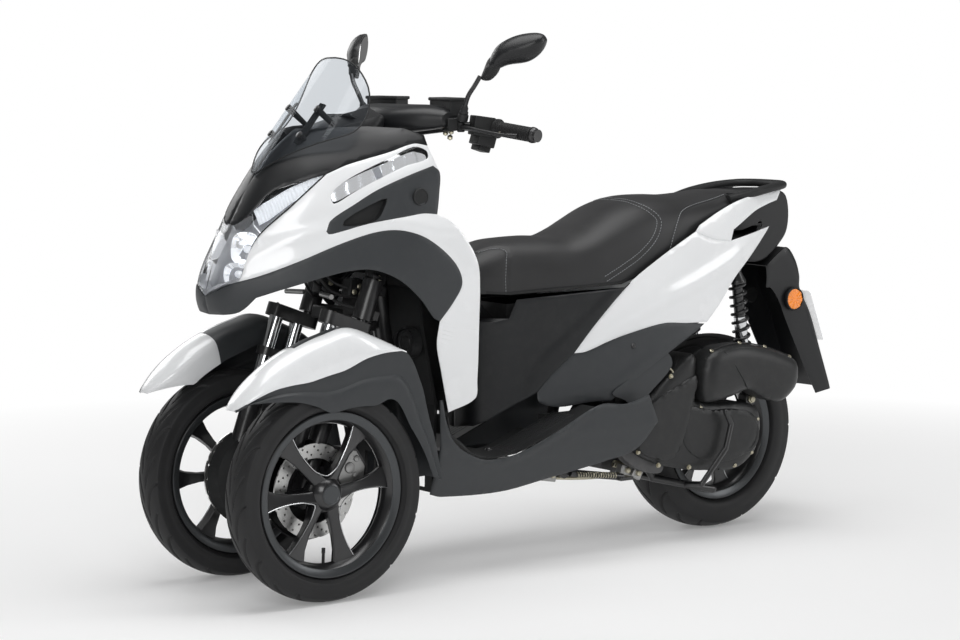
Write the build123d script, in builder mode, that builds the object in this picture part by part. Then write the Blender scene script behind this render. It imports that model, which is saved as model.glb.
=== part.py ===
"""Leaning reverse trike scooter: two steered front wheels, one driven rear wheel.

Millimetres. +X is forward, +Y the rider's left, +Z up. The origin is on the floor,
in the middle of the overall length and width.
"""
import os
from math import cos, radians, sin, tan

from build123d import *

os.makedirs("parts", exist_ok=True)

# ---------------------------------------------------------------- driving dimensions
WHEELBASE = 1350
TRACK = 385
FRONT_AXLE_X = 740
REAR_AXLE_X = FRONT_AXLE_X - WHEELBASE
# rear axle that the rear outlines below are drawn round
DRAWN_REAR_AXLE_X = -610
FRONT_RADIUS, FRONT_WIDTH, FRONT_SEAT = 250, 90, 178   # 90/80-14 tyre, bead seat radius
REAR_RADIUS, REAR_WIDTH, REAR_SEAT = 256, 130, 165     # 130/70-13 tyre, bead seat radius
CASTER = 20                                            # steering axis from upright, degrees
TRAIL = 68
PANEL = 3                                              # moulded panel thickness
KINGPIN_INSET = 80.5                                   # steering axis inside each front wheel's middle
BAR_HALF = 375                                         # grip end from the centre plane

WHEEL_Y = TRACK / 2
KINGPIN_Y = WHEEL_Y - KINGPIN_INSET
STEER_FOOT_X = FRONT_AXLE_X + TRAIL                    # where the steering axis meets the floor


REAR_SHIFT = REAR_AXLE_X - DRAWN_REAR_AXLE_X
# between these the body stretches with the wheelbase
STRETCH_FRONT_X, STRETCH_REAR_X = 200, -60


def aft(points):
    """Drawn points (x, ...) moved with the rear axle, in full behind STRETCH_REAR_X."""
    span = STRETCH_FRONT_X - STRETCH_REAR_X
    return [(x + REAR_SHIFT * min(max((STRETCH_FRONT_X - x) / span, 0), 1), *rest) for x, *rest in points]


def steer_plane(y):
    """Plane at the foot of the steering axis, its z along the axis and its x forward."""
    lean = radians(CASTER)
    return Plane(origin=(STEER_FOOT_X, y, 0), x_dir=(cos(lean), 0, sin(lean)),
                 z_dir=(-sin(lean), 0, cos(lean)))


def tube_plane(start, end):
    """Plane at the start of a straight tube, its z towards the end, and the tube's length."""
    run = Vector(*end) - Vector(*start)
    return Plane(origin=start, z_dir=run.normalized()), run.length


# ---------------------------------------------------------------- wheels
# Axle height, tyre width and bead seat of each wheel; flange half width of its rim.
WHEELS = {
    "left": dict(x=FRONT_AXLE_X, y=WHEEL_Y, r=FRONT_RADIUS, w=FRONT_WIDTH, seat=FRONT_SEAT, rim=33),
    "right": dict(x=FRONT_AXLE_X, y=-WHEEL_Y, r=FRONT_RADIUS, w=FRONT_WIDTH, seat=FRONT_SEAT, rim=33),
    "rear": dict(x=REAR_AXLE_X, y=0, r=REAR_RADIUS, w=REAR_WIDTH, seat=REAR_SEAT, rim=50),
}
FLANGE = 13          # rim flange height above the bead seat
ARM_PAIRS = (157, 32, -97)     # direction of each split spoke, degrees
ARM_SPREAD = 25                # half angle between the two arms of a split spoke
HUB_RADIUS = 30
AXLE_RADIUS = {"left": 10, "right": 10, "rear": 12}
FIT = 0.05                     # radial running clearance in every bore

for place, wheel in WHEELS.items():
    half, seat, crown = wheel["w"] / 2, wheel["seat"], wheel["r"]
    # carcass: bead, bulging sidewall and round crown, 9 mm thick all the way
    with BuildPart() as tyre:
        with BuildSketch(Plane.YZ.offset(wheel["x"]).shift_origin((wheel["x"], wheel["y"], crown))):
            with BuildLine():
                Polyline((-wheel["rim"] + 5, seat + 1), (-wheel["rim"] + 5, seat + FLANGE + 3),
                         (-half, seat + 0.42 * (crown - seat)), (-half + 4, crown - 0.34 * half))
                ThreePointArc((-half + 4, crown - 0.34 * half), (0, crown),
                              (half - 4, crown - 0.34 * half))
                Polyline((half - 4, crown - 0.34 * half), (half, seat + 0.42 * (crown - seat)),
                         (wheel["rim"] - 5, seat + FLANGE + 3), (wheel["rim"] - 5, seat + 1),
                         (wheel["rim"] - 17, seat + 1), (wheel["rim"] - 14, seat + 14),
                         (half - 10, seat + 0.42 * (crown - seat)), (half - 16, crown - 0.5 * half),
                         (0, crown - 11), (-half + 16, crown - 0.5 * half),
                         (-half + 10, seat + 0.42 * (crown - seat)), (-wheel["rim"] + 14, seat + 14),
                         (-wheel["rim"] + 17, seat + 1), (-wheel["rim"] + 5, seat + 1))
            make_face()
        revolve(axis=Axis((wheel["x"], wheel["y"], crown), (0, 1, 0)))
    tyre.part.label = f"{place}_tyre"
    export_step(tyre.part, f"parts/{place}_tyre.step")

    # cast rim: barrel with two flanges, six arms in three split spokes, and a bored hub
    with BuildPart() as rim:
        with BuildSketch(Plane.YZ.offset(wheel["x"]).shift_origin((wheel["x"], wheel["y"], crown))):
            Polygon((-wheel["rim"], seat + FLANGE), (-wheel["rim"] + 4.5, seat + FLANGE),
                    (-wheel["rim"] + 4.5, seat), (-wheel["rim"] + 22, seat - 4), (0, seat - 14),
                    (wheel["rim"] - 22, seat - 4), (wheel["rim"] - 4.5, seat),
                    (wheel["rim"] - 4.5, seat + FLANGE), (wheel["rim"], seat + FLANGE),
                    (wheel["rim"], seat - 5), (wheel["rim"] - 20, seat - 10), (0, seat - 20),
                    (-wheel["rim"] + 20, seat - 10), (-wheel["rim"], seat - 5), align=None)
        revolve(axis=Axis((wheel["x"], wheel["y"], crown), (0, 1, 0)))
        out = -1 if place == "right" else 1
        arm_face = Plane(origin=(wheel["x"], wheel["y"] + out * 14, crown), x_dir=(-1, 0, 0),
                         z_dir=(0, 1, 0))
        for pair in ARM_PAIRS:
            for turn in (pair - ARM_SPREAD, pair + ARM_SPREAD):
                with BuildSketch(arm_face):
                    with Locations(Rotation(0, 0, turn)):
                        Polygon((18, -13), (18, 13), (seat * 0.6, 13), (seat - 14, 21),
                                (seat - 14, -21), (seat * 0.6, -13), align=None)
                extrude(amount=-20 * out)
        hub_face = Plane(origin=(wheel["x"], wheel["y"] - out * 27, crown), z_dir=(0, out, 0))
        with BuildSketch(hub_face):
            Circle(HUB_RADIUS)
        extrude(amount=54)
        with BuildSketch(hub_face):
            Circle(AXLE_RADIUS[place] + FIT)
        extrude(amount=54 if place == "rear" else 46, mode=Mode.SUBTRACT)
    rim.part.label = f"{place}_rim"
    export_step(rim.part, f"parts/{place}_rim.step")

# ---------------------------------------------------------------- brake discs
# Steel ring on five lugs, bolted to the inner side of each front hub and the rear hub's right.
DISCS = {
    "left": dict(x=FRONT_AXLE_X, y=WHEEL_Y - 44, z=FRONT_RADIUS, r=110, turn=1, hub=17),
    "right": dict(x=FRONT_AXLE_X, y=-WHEEL_Y + 44, z=FRONT_RADIUS, r=110, turn=-1, hub=17),
    "rear": dict(x=REAR_AXLE_X, y=-74, z=REAR_RADIUS, r=115, turn=1, hub=47),
}
for place, disc in DISCS.items():
    with BuildPart() as brake_disc:
        face = Plane(origin=(disc["x"], disc["y"], disc["z"]), x_dir=(1, 0, 0),
                     z_dir=(0, disc["turn"], 0))
        with BuildSketch(face):
            Circle(disc["r"])
            Circle(disc["r"] - 36, mode=Mode.SUBTRACT)
            with PolarLocations(0, 5):
                Polygon((20, -9), (20, 9), (disc["r"] - 32, 6), (disc["r"] - 32, -6), align=None)
            Circle(28)
            Circle(AXLE_RADIUS[place] + 1, mode=Mode.SUBTRACT)
        extrude(amount=4, both=False)
        with BuildSketch(face):
            Circle(28)
            Circle(AXLE_RADIUS[place] + 1, mode=Mode.SUBTRACT)
        extrude(amount=disc["hub"])
    brake_disc.part.label = f"{place}_disc"
    export_step(brake_disc.part, f"parts/{place}_disc.step")

# ---------------------------------------------------------------- front forks
# Twin telescopic legs on the inner side of each wheel, turning on a stem above them.
# Legs in the steering plane: distance ahead of the axis, radius, bottom and top along it.
LEGS = ((84, 22, 235, 430), (24, 22, 225, 430), (84, 16, 430, 640), (24, 16, 430, 640))
STEM_RADIUS, STEM_TOP = 12, 780
YOKE_BOTTOM, YOKE_TOP = 636, 666
CALLIPER = [(688, 262), (700, 318), (668, 346), (632, 340), (606, 300), (614, 262), (650, 246)]
CARRIER = [(640, 262), (712, 222), (752, 204), (815, 232), (835, 262), (822, 300), (780, 318),
           (720, 300), (650, 300)]

for name, side in (("left", 1), ("right", -1)):
    axis_plane = steer_plane(side * KINGPIN_Y)
    disc_y = WHEEL_Y - 44
    with BuildPart() as fork:
        for ahead, radius, low, high in LEGS:
            with BuildSketch(axis_plane.offset(low)):
                with Locations((ahead, 0)):
                    Circle(radius)
            extrude(amount=high - low)
        for low, high in ((YOKE_BOTTOM, YOKE_TOP), (540, 560)):
            with BuildSketch(axis_plane.offset(low)):
                with Locations((42 if high == YOKE_TOP else 54, 0)):
                    SlotCenterToCenter(96 if high == YOKE_TOP else 62, 46)
            extrude(amount=high - low)
        with BuildSketch(axis_plane.offset(YOKE_TOP)):
            Circle(STEM_RADIUS)
        extrude(amount=STEM_TOP - YOKE_TOP)
        with BuildSketch(axis_plane.offset(STEM_TOP - 6)):
            Circle(STEM_RADIUS + 7)
        extrude(amount=6)
        # axle carrier between the two legs, and the axle out to the hub
        with BuildSketch(Plane.XZ.offset(-side * KINGPIN_Y)):
            Polygon(*CARRIER, align=None)
        extrude(amount=13, both=True)
        with BuildSketch(Plane.XZ.offset(-side * KINGPIN_Y)):
            with Locations((FRONT_AXLE_X, FRONT_RADIUS)):
                Circle(AXLE_RADIUS[name])
        extrude(amount=-side * (WHEEL_Y - KINGPIN_Y + 17))
        # brake calliper over the disc edge
        with BuildSketch(Plane.XZ.offset(-side * (KINGPIN_Y + 10))):
            Polygon(*CALLIPER, align=None)
        extrude(amount=-side * (disc_y - KINGPIN_Y + 10))
        with BuildSketch(Plane.XZ.offset(-side * (disc_y - 2))):
            with Locations((FRONT_AXLE_X, FRONT_RADIUS)):
                Circle(112)
        extrude(amount=-side * 8, mode=Mode.SUBTRACT)
        with BuildSketch(Plane.XZ.offset(-side * KINGPIN_Y)):
            with Locations((FRONT_AXLE_X, FRONT_RADIUS)):
                Circle(AXLE_RADIUS[name])
        extrude(amount=-side * (WHEEL_Y - KINGPIN_Y + 17))
        # lug that carries the mudguard
        with BuildSketch(Plane.XZ.offset(-side * KINGPIN_Y)):
            Polygon((700, 520), (640, 520), (650, 490), (700, 490), align=None)
        extrude(amount=-side * 28)
    fork.part.label = f"{name}_fork"
    export_step(fork.part, f"parts/{name}_fork.step")

    # domed plastic cover over the inner side of the brake, open above for the legs
    with BuildPart() as brake_cover:
        with BuildSketch(Plane.YZ.offset(FRONT_AXLE_X)):
            Polygon(*[(side * (KINGPIN_Y + out), z) for out, z in
                      ((12, 368), (-16, 356), (-34, 320), (-40, 250), (-37, 250), (-31, 318),
                       (-14, 353), (12, 365))],
                    align=None)
        revolve(axis=Axis((FRONT_AXLE_X, 0, FRONT_RADIUS), (0, 1, 0)))
        for ahead, radius, low, high in LEGS[:2]:
            with BuildSketch(axis_plane.offset(low - 30)):
                with Locations((ahead, 0)):
                    Circle(radius + 1)
            extrude(amount=300, mode=Mode.SUBTRACT)
        with BuildSketch(Plane.XZ.offset(-side * KINGPIN_Y)):
            Polygon(*CARRIER, align=None)
            Polygon(*CALLIPER, align=None)
            offset(amount=1, kind=Kind.INTERSECTION)
        extrude(amount=14, both=True, mode=Mode.SUBTRACT)
    brake_cover.part.label = f"{name}_brake_cover"
    export_step(brake_cover.part, f"parts/{name}_brake_cover.step")

# ---------------------------------------------------------------- front mudguards
# Side view of the ridge, front tip to rear tip, and of the lower edge, rear to front.
GUARD_TOP = [(990, 462), (960, 497), (905, 546), (830, 587), (749, 615), (683, 628), (610, 600),
             (540, 568), (500, 490), (472, 390), (452, 310), (440, 262)]
GUARD_LOW = [(452, 258), (472, 274), (530, 384), (578, 457), (634, 450), (750, 442), (839, 472),
             (940, 476)]
GUARD_COLOUR_LINE = [(1020, 470), (915, 500), (808, 514), (713, 536), (574, 572), (500, 575)]
GUARD_WIDTH = 112
GUARD_MID = WHEEL_Y + 3.5


def toward_axle(points, share):
    """Side-view points drawn in towards the front axle."""
    return [(FRONT_AXLE_X + share * (x - FRONT_AXLE_X), FRONT_RADIUS + share * (z - FRONT_RADIUS))
            for x, z in points]


for name, side in (("left", 1), ("right", -1)):
    edge = GUARD_WIDTH / 2
    with BuildPart() as guard_hollow:
        for out, share in ((-edge + PANEL, 0.94), (0, 0.99), (edge - PANEL, 0.94)):
            with BuildSketch(Plane.XZ.offset(-side * (GUARD_MID + out))):
                Polygon(*toward_axle(GUARD_TOP + [(440, 120), (990, 120)], share), align=None)
        loft(ruled=True)
    with BuildPart() as guard:
        for out, share in ((-edge, 0.95), (0, 1.0), (edge, 0.95)):
            with BuildSketch(Plane.XZ.offset(-side * (GUARD_MID + out))):
                Polygon(*toward_axle(GUARD_TOP, share), *GUARD_LOW, align=None)
        loft(ruled=True)
        add(guard_hollow.part, mode=Mode.SUBTRACT)
    with BuildPart() as painted_zone:
        with BuildSketch(Plane.XZ.offset(-side * (GUARD_MID - 24))):
            Polygon(*GUARD_COLOUR_LINE, (500, 660), (1020, 660), align=None)
        extrude(amount=-side * 90)
        with BuildSketch(Plane.XZ.offset(-side * (GUARD_MID - 66))):
            Polygon((1020, 440), (800, 440), (800, 660), (1020, 660), align=None)
        extrude(amount=-side * 42)
    with BuildPart() as fender:
        add(guard.part)
        add(painted_zone.part, mode=Mode.INTERSECT)
    fender.part.label = f"{name}_fender"
    export_step(fender.part, f"parts/{name}_fender.step")
    with BuildPart() as fender_skirt:
        add(guard.part)
        add(painted_zone.part, mode=Mode.SUBTRACT)
    fender_skirt.part.label = f"{name}_fender_skirt"
    export_step(fender_skirt.part, f"parts/{name}_fender_skirt.step")

# ---------------------------------------------------------------- lean linkage
# Two steering posts joined by an upper and a lower arm to a centre pivot on the frame.
with BuildPart() as lean_arms:
    for side in (1, -1):
        with BuildSketch(steer_plane(side * KINGPIN_Y).offset(YOKE_TOP + 6)):
            Circle(24)
        extrude(amount=96)
    centre_plane = steer_plane(0)
    for low in (682, 742):
        with BuildSketch(centre_plane.offset(low)):
            with Locations((-32, 0)):
                Rectangle(24, 2 * KINGPIN_Y)
        extrude(amount=20)
    with BuildSketch(centre_plane.offset(668)):
        with Locations((-65, 0)):
            Rectangle(90, 36)
    extrude(amount=106)
    for side in (1, -1):
        with BuildSketch(steer_plane(side * KINGPIN_Y).offset(YOKE_TOP)):
            Circle(STEM_RADIUS + FIT)
        extrude(amount=110, mode=Mode.SUBTRACT)
lean_arms.part.label = "lean_arms"
export_step(lean_arms.part, "parts/lean_arms.step")

# ---------------------------------------------------------------- frame
# Steel tubes: start, end and radius.
RAIL_Y = 105
FRAME_TUBES = [
    ((486, 0, 882), (455, 0, 700), 24),
    ((455, 0, 700), (392, 0, 275), 24),
]
for side in (1, -1):
    FRAME_TUBES += [
        ((392, 0, 275), (350, side * RAIL_Y, 250), 15),
        ((350, side * RAIL_Y, 250), (-150, side * RAIL_Y, 250), 15),
        ((-150, side * RAIL_Y, 250), (-215, side * RAIL_Y, 520), 15),
        ((-215, side * RAIL_Y, 520), (-560, side * RAIL_Y, 700), 13),
        ((-560, side * RAIL_Y, 700), (-700, side * 62, 768), 13),
        ((200, side * RAIL_Y, 250), (200, side * RAIL_Y, 287), 10),
        ((-215, side * RAIL_Y, 520), (-215, side * 156, 520), 8),
    ]
FRAME_TUBES += [
    ((-60, -RAIL_Y, 250), (-60, RAIL_Y, 250), 13),
    ((120, -RAIL_Y, 250), (120, RAIL_Y, 250), 13),
    ((-700, -62, 768), (-700, 62, 768), 13),
    ((-560, -RAIL_Y, 700), (-560, RAIL_Y, 700), 13),
]
FRAME_TUBES += [((440, 0, 650), (327, 0, 650), 10)]
SIDE_PIVOT = aft([(-20, 216)])[0]                  # side stand axis, on a plate under the left rail
HEAD_LOW, HEAD_HIGH = 940, 1050          # head tube ends along the steering axis
with BuildPart() as frame:
    for start, end, radius in FRAME_TUBES:
        start, end = aft([start, end])
        foot, length = tube_plane(start, end)
        with BuildSketch(foot):
            Circle(radius)
        extrude(amount=length)
        with Locations(start, end):
            Sphere(radius)
    with BuildSketch(centre_plane.offset(HEAD_LOW)):
        Circle(24)
    extrude(amount=HEAD_HIGH - HEAD_LOW)
    with BuildSketch(centre_plane.offset(HEAD_LOW - 30)):
        Circle(13 + FIT)
    extrude(amount=160, mode=Mode.SUBTRACT)
    with Locations((SIDE_PIVOT[0], 112, SIDE_PIVOT[1] + 16)):
        Box(32, 12, 54)
    with BuildSketch(Plane.XZ.offset(-110)):
        with Locations(SIDE_PIVOT):
            Circle(6)
    extrude(amount=-20)
    add(lean_arms.part, mode=Mode.SUBTRACT)
frame.part.label = "frame"
export_step(frame.part, "parts/frame.step")

# ---------------------------------------------------------------- front body shell
# Half plan outline (x, y) at each height, nose to leg shield; every front panel is cut from it.
FRONT_LEVELS = {
    400: [(480, 0), (478, 40), (474, 80), (468, 120), (460, 150), (450, 172), (440, 186), (428, 196),
          (300, 204)],
    560: [(560, 0), (556, 45), (550, 84), (545, 140), (540, 175), (530, 196), (490, 212), (430, 218),
          (300, 222)],
    640: [(916, 0), (908, 50), (882, 86), (800, 146), (700, 183), (600, 206), (500, 222), (430, 227),
          (300, 230)],
    700: [(937, 0), (928, 52), (896, 87), (800, 149), (700, 187), (600, 210), (500, 226), (430, 231),
          (300, 236)],
    860: [(869, 0), (862, 45), (838, 80), (780, 128), (690, 167), (600, 192), (500, 212), (430, 217),
          (300, 226)],
    975: [(796, 0), (788, 42), (760, 80), (720, 118), (660, 150), (590, 170), (500, 182), (430, 186),
          (300, 192)],
    1045: [(738, 0), (728, 40), (700, 72), (660, 100), (600, 128), (540, 144), (480, 152), (430, 154),
           (300, 156)],
    1090: [(690, 0), (682, 34), (655, 60), (620, 82), (570, 102), (520, 114), (470, 120), (430, 122),
           (300, 122)],
}


def level_outline(half, inset, rear_x):
    """Closed plan outline of one level, drawn in by inset and run back to rear_x."""
    left = [(x - inset, max(y - inset, 1) if y else 0) for x, y in half[:-1]]
    left += [(rear_x, half[-1][1] - inset)]
    return left + [(x, -y) for x, y in reversed(left) if y > 0]


with BuildPart() as front_hull:
    for z, half in FRONT_LEVELS.items():
        with BuildSketch(Plane.XY.offset(z)):
            Polygon(*level_outline(half, 0, 300), align=None)
    loft(ruled=True)
with BuildPart() as front_core:
    for z, half in FRONT_LEVELS.items():
        with BuildSketch(Plane.XY.offset(z - (PANEL if z == 1090 else 0))):
            Polygon(*level_outline(half, PANEL, 280), align=None)
    loft(ruled=True)
with BuildPart() as front_shell:
    add(front_hull.part)
    add(front_core.part, mode=Mode.SUBTRACT)
with BuildPart() as lamp_core:
    for z, half in FRONT_LEVELS.items():
        with BuildSketch(Plane.XY.offset(z)):
            Polygon(*level_outline(half, 40, 280), align=None)
    loft(ruled=True)
with BuildPart() as lamp_void:
    for z, half in FRONT_LEVELS.items():
        with BuildSketch(Plane.XY.offset(z)):
            Polygon(*level_outline(half, 40 + PANEL, 270), align=None)
    loft(ruled=True)

# Side-view seams shared by neighbouring panels.
LAMP_CORNER, LAMP_TOP = (895, 738), (690, 976)
LAMP_SIDE = [LAMP_CORNER, (850, 830), (768, 908), LAMP_TOP]
COVER_EDGE = [(880, 862), (846, 893), (786, 948), LAMP_TOP, (638, 997), (526, 1024), (458, 1042),
              (421, 1042)]
ARCH_TOP = [LAMP_CORNER, (861, 747), (777, 780), (674, 820), (588, 843), (525, 843), (460, 820),
            (395, 766),
            (374, 718), (395, 676), (434, 628)]
ARCH_LOW = [(434, 628), (451, 637), (492, 686), (545, 731), (607, 756), (662, 756), (714, 746),
            (810, 719),
            (872, 697), (890, 695)]
CHEEK = [(710, 846), (697, 871), (580, 938), (418, 990), (404, 974), (432, 878), (509, 876), (612, 861),
         (685, 843)]
INDICATOR = [(690, 924), (685, 909), (593, 954), (499, 990), (432, 1004), (428, 1030), (460, 1036),
             (530, 1011),
             (619, 977), (672, 947)]
APRON_BACK = [(432, 878), (395, 858), (348, 803), (327, 755), (326, 696), (322, 601), (315, 480),
              (315, 436),
              (391, 408)]
APRON_FRONT = [(391, 408), (420, 507), (438, 573), (444, 613), (434, 628)]

# Each front panel: its closed side-view outline, cut from the shell.
FRONT_PANELS = {
    "nose_cover": COVER_EDGE[:-1] + [(470, 1044), (530, 1050), (530, 1100), (900, 1100)],
    "headlamp_lenses": [(950, 640), (890, 695), *LAMP_SIDE, (786, 948), (846, 893), (880, 862),
                        (950, 862)],
    "front_side_panels": [*LAMP_SIDE, *COVER_EDGE[4:-1], (421, 1030), (404, 974), *APRON_BACK,
                          *APRON_FRONT[1:]]
    + ARCH_TOP[-2:0:-1],
    "arch_panels": ARCH_TOP + ARCH_LOW[1:],
    "cheek_panels": CHEEK,
    "front_indicators": INDICATOR,
}
for name, outline in FRONT_PANELS.items():
    with BuildPart() as panel:
        with BuildSketch(Plane.XZ):
            Polygon(*outline, align=None)
            if name == "front_side_panels":
                Polygon(*CHEEK, align=None, mode=Mode.SUBTRACT)
                Polygon(*INDICATOR, align=None, mode=Mode.SUBTRACT)
        extrude(amount=300, both=True)
        add(front_shell.part, mode=Mode.INTERSECT)
    panel.part.label = name
    export_step(panel.part, f"parts/{name}.step")
    if name == "nose_cover":
        cover_panel = panel

# black shell behind the lenses
lamp_outline = FRONT_PANELS["headlamp_lenses"]
lamp_x, lamp_z = (sum(values) / len(lamp_outline) for values in zip(*lamp_outline))
with BuildPart() as lamp_cavity:
    with BuildSketch(Plane.XZ):
        Polygon(*[(lamp_x + (x - lamp_x) * 0.93, lamp_z + (z - lamp_z) * 0.93) for x, z in lamp_outline],
                align=None)
    extrude(amount=300, both=True)
    add(lamp_core.part, mode=Mode.SUBTRACT)
with BuildPart() as lamp_housing:
    with BuildSketch(Plane.XZ):
        Polygon(*FRONT_PANELS["headlamp_lenses"], align=None)
    extrude(amount=300, both=True)
    add(front_core.part, mode=Mode.INTERSECT)
    add(lamp_void.part, mode=Mode.SUBTRACT)
    add(lamp_cavity.part, mode=Mode.SUBTRACT)
lamp_housing.part.label = "lamp_housing"
export_step(lamp_housing.part, "parts/lamp_housing.step")

# leg shield: moulded inner panel facing the rider, closing the apron behind
with BuildPart() as leg_shield:
    with BuildSketch(Plane.XZ):
        Polygon(*[(x + 1, z) for x, z in APRON_BACK], (392, 412), (320, 440),
                *[(x + 1 + PANEL, z) for x, z in APRON_BACK[-3::-1]], align=None)
    extrude(amount=300, both=True)
    add(front_core.part, mode=Mode.INTERSECT)
    add(frame.part, mode=Mode.SUBTRACT)
leg_shield.part.label = "leg_shield"
export_step(leg_shield.part, "parts/leg_shield.step")

# dash: panel from the leg shield up to the meter, which stands behind the screen
with BuildPart() as dash:
    with BuildSketch(Plane.XZ):
        Polygon((433, 880), (405, 974), (421, 1036), (426, 1036), (410, 975), (437, 882), align=None)
    extrude(amount=300, both=True)
    add(front_core.part, mode=Mode.INTERSECT)
    with Locations((415, 0, 985)):
        Box(120, 90, 140, mode=Mode.SUBTRACT)
dash.part.label = "dash"
export_step(dash.part, "parts/dash.step")

# dark panel behind the front wheels, between the aprons, split by the frame's backbone
MASK = [(446, 700), (440, 613), (418, 507), (398, 420), (404, 330), (408, 212)]
with BuildPart() as inner_fender:
    with BuildSketch(Plane.XZ):
        Polygon(*MASK, *[(x - 8, z) for x, z in reversed(MASK)], align=None)
    extrude(amount=155, both=True)
    add(leg_shield.part, mode=Mode.SUBTRACT)
    with Locations((430, 0, 450)):
        Box(200, 60, 600, mode=Mode.SUBTRACT)
    for side in (1, -1):
        with Locations((360, side * 105, 250)):
            Box(200, 40, 60, mode=Mode.SUBTRACT)
inner_fender.part.label = "inner_fender"
export_step(inner_fender.part, "parts/inner_fender.step")

with BuildPart() as horn:
    with Locations((440, 120, 570)):
        Cylinder(36, 34, rotation=(0, 90, 0))
    add(inner_fender.part, mode=Mode.SUBTRACT)
    with Locations((400, 120, 570)):
        Box(70, 100, 100, mode=Mode.SUBTRACT)
horn.part.label = "horn"
export_step(horn.part, "parts/horn.step")

# windscreen: clear sheet bent to a cylinder, its outline drawn on the slope from the nose
SCREEN_FOOT, SCREEN_HEAD = (803, 971), (579, 1239)
SCREEN_RADIUS = 185
SCREEN_HALF = [(0, 6), (60, 56), (130, 112), (180, 144), (215, 152), (262, 148), (305, 132), (335, 95),
               (349, 45)]
slope = Vector(SCREEN_HEAD[0] - SCREEN_FOOT[0], 0, SCREEN_HEAD[1] - SCREEN_FOOT[1]).normalized()
outward = Vector(slope.Z, 0, -slope.X)
with BuildPart() as windscreen:
    with BuildSketch(Plane(origin=(SCREEN_FOOT[0], 0, SCREEN_FOOT[1]), x_dir=outward, z_dir=slope)):
        with BuildLine():
            CenterArc((-SCREEN_RADIUS, 0), SCREEN_RADIUS + PANEL, -60, 120)
            CenterArc((-SCREEN_RADIUS, 0), SCREEN_RADIUS, -60, 120)
            for edge in (-60, 60):
                Line((-SCREEN_RADIUS + SCREEN_RADIUS * cos(radians(edge)),
                      SCREEN_RADIUS * sin(radians(edge))),
                     (-SCREEN_RADIUS + (SCREEN_RADIUS + PANEL) * cos(radians(edge)),
                      (SCREEN_RADIUS + PANEL) * sin(radians(edge))))
        make_face()
    extrude(amount=360)
    with BuildSketch(Plane(origin=(SCREEN_FOOT[0], 0, SCREEN_FOOT[1]), x_dir=slope,
                           z_dir=outward).offset(10)):
        Polygon(*SCREEN_HALF, *[(t, -y) for t, y in reversed(SCREEN_HALF)], align=None)
    extrude(amount=-130, mode=Mode.INTERSECT)
    add(front_hull.part, mode=Mode.SUBTRACT)
windscreen.part.label = "windscreen"
# four posts that hold the screen off the cover: distance up the slope and side
SCREEN_POSTS = ((128, 60, 30), (128, -60, 30), (205, 60, 60), (205, -60, 60))
with BuildPart() as nose_cover:
    add(cover_panel.part)
    for up, y, length in SCREEN_POSTS:
        sag = SCREEN_RADIUS - (SCREEN_RADIUS ** 2 - y ** 2) ** 0.5
        head = Vector(SCREEN_FOOT[0], y, SCREEN_FOOT[1]) + slope * up - outward * sag
        with BuildSketch(Plane(origin=head, z_dir=outward * -1)):
            Circle(7)
        extrude(amount=length)
    add(windscreen.part, mode=Mode.SUBTRACT)
nose_cover.part.label = "nose_cover"
export_step(nose_cover.part, "parts/nose_cover.step")
export_step(windscreen.part, "parts/windscreen.step")

# ---------------------------------------------------------------- handlebar
BAR_RADIUS, GRIP_RADIUS = 11, 17
BAR_LINE = [(425, 0, 1060), (418, 50, 1062), (335, 165, 1080), (288, 250, 1075), (263, BAR_HALF, 1060)]
with BuildPart() as handlebar:
    with BuildSketch(centre_plane.offset(HEAD_LOW - 20)):
        Circle(13)
    extrude(amount=1122 - HEAD_LOW + 20)
    with BuildSketch(centre_plane.offset(HEAD_HIGH + 4)):
        Circle(22)
    extrude(amount=18)
    for side in (1, -1):
        for start, end in zip(BAR_LINE, BAR_LINE[1:]):
            foot, length = tube_plane((start[0], side * start[1], start[2]),
                                      (end[0], side * end[1], end[2]))
            with BuildSketch(foot):
                Circle(BAR_RADIUS)
            extrude(amount=length)
            with Locations((start[0], side * start[1], start[2])):
                Sphere(BAR_RADIUS)
        # bar end weight
        with BuildSketch(foot.offset(length - 14)):
            Circle(GRIP_RADIUS - 2)
        extrude(amount=14)
handlebar.part.label = "handlebar"
export_step(handlebar.part, "parts/handlebar.step")

with BuildPart() as grips:
    for side in (1, -1):
        (x0, y0, z0), (x1, y1, z1) = BAR_LINE[-2:]
        foot, length = tube_plane((x0, side * y0, z0), (x1, side * y1, z1))
        with BuildSketch(foot.offset(2)):
            Circle(GRIP_RADIUS)
            Circle(BAR_RADIUS + FIT, mode=Mode.SUBTRACT)
        extrude(amount=length - 16)
        with BuildSketch(foot.offset(2)):
            Circle(GRIP_RADIUS + 5)
            Circle(BAR_RADIUS + FIT, mode=Mode.SUBTRACT)
        extrude(amount=5)
grips.part.label = "grips"
export_step(grips.part, "parts/grips.step")

# brake master cylinders, switch housings and levers
with BuildPart() as controls:
    for side in (1, -1):
        with Locations((352, side * 192, 1096)):
            Box(46, 56, 40)
        with Locations((318, side * 212, 1078)):
            Box(46, 44, 46)
        with Locations((345, side * 222, 1076)):
            Box(40, 26, 18)
        for start, end in (((352, 222, 1074), (340, 270, 1066)), ((340, 270, 1066), (310, 362, 1052))):
            foot, length = tube_plane((start[0], side * start[1], start[2]),
                                      (end[0], side * end[1], end[2]))
            with BuildSketch(foot):
                Circle(6)
            extrude(amount=length)
            with Locations((start[0], side * start[1], start[2]), (end[0], side * end[1], end[2])):
                Sphere(7)
    add(handlebar.part, mode=Mode.SUBTRACT)
controls.part.label = "controls"
export_step(controls.part, "parts/controls.step")

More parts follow.
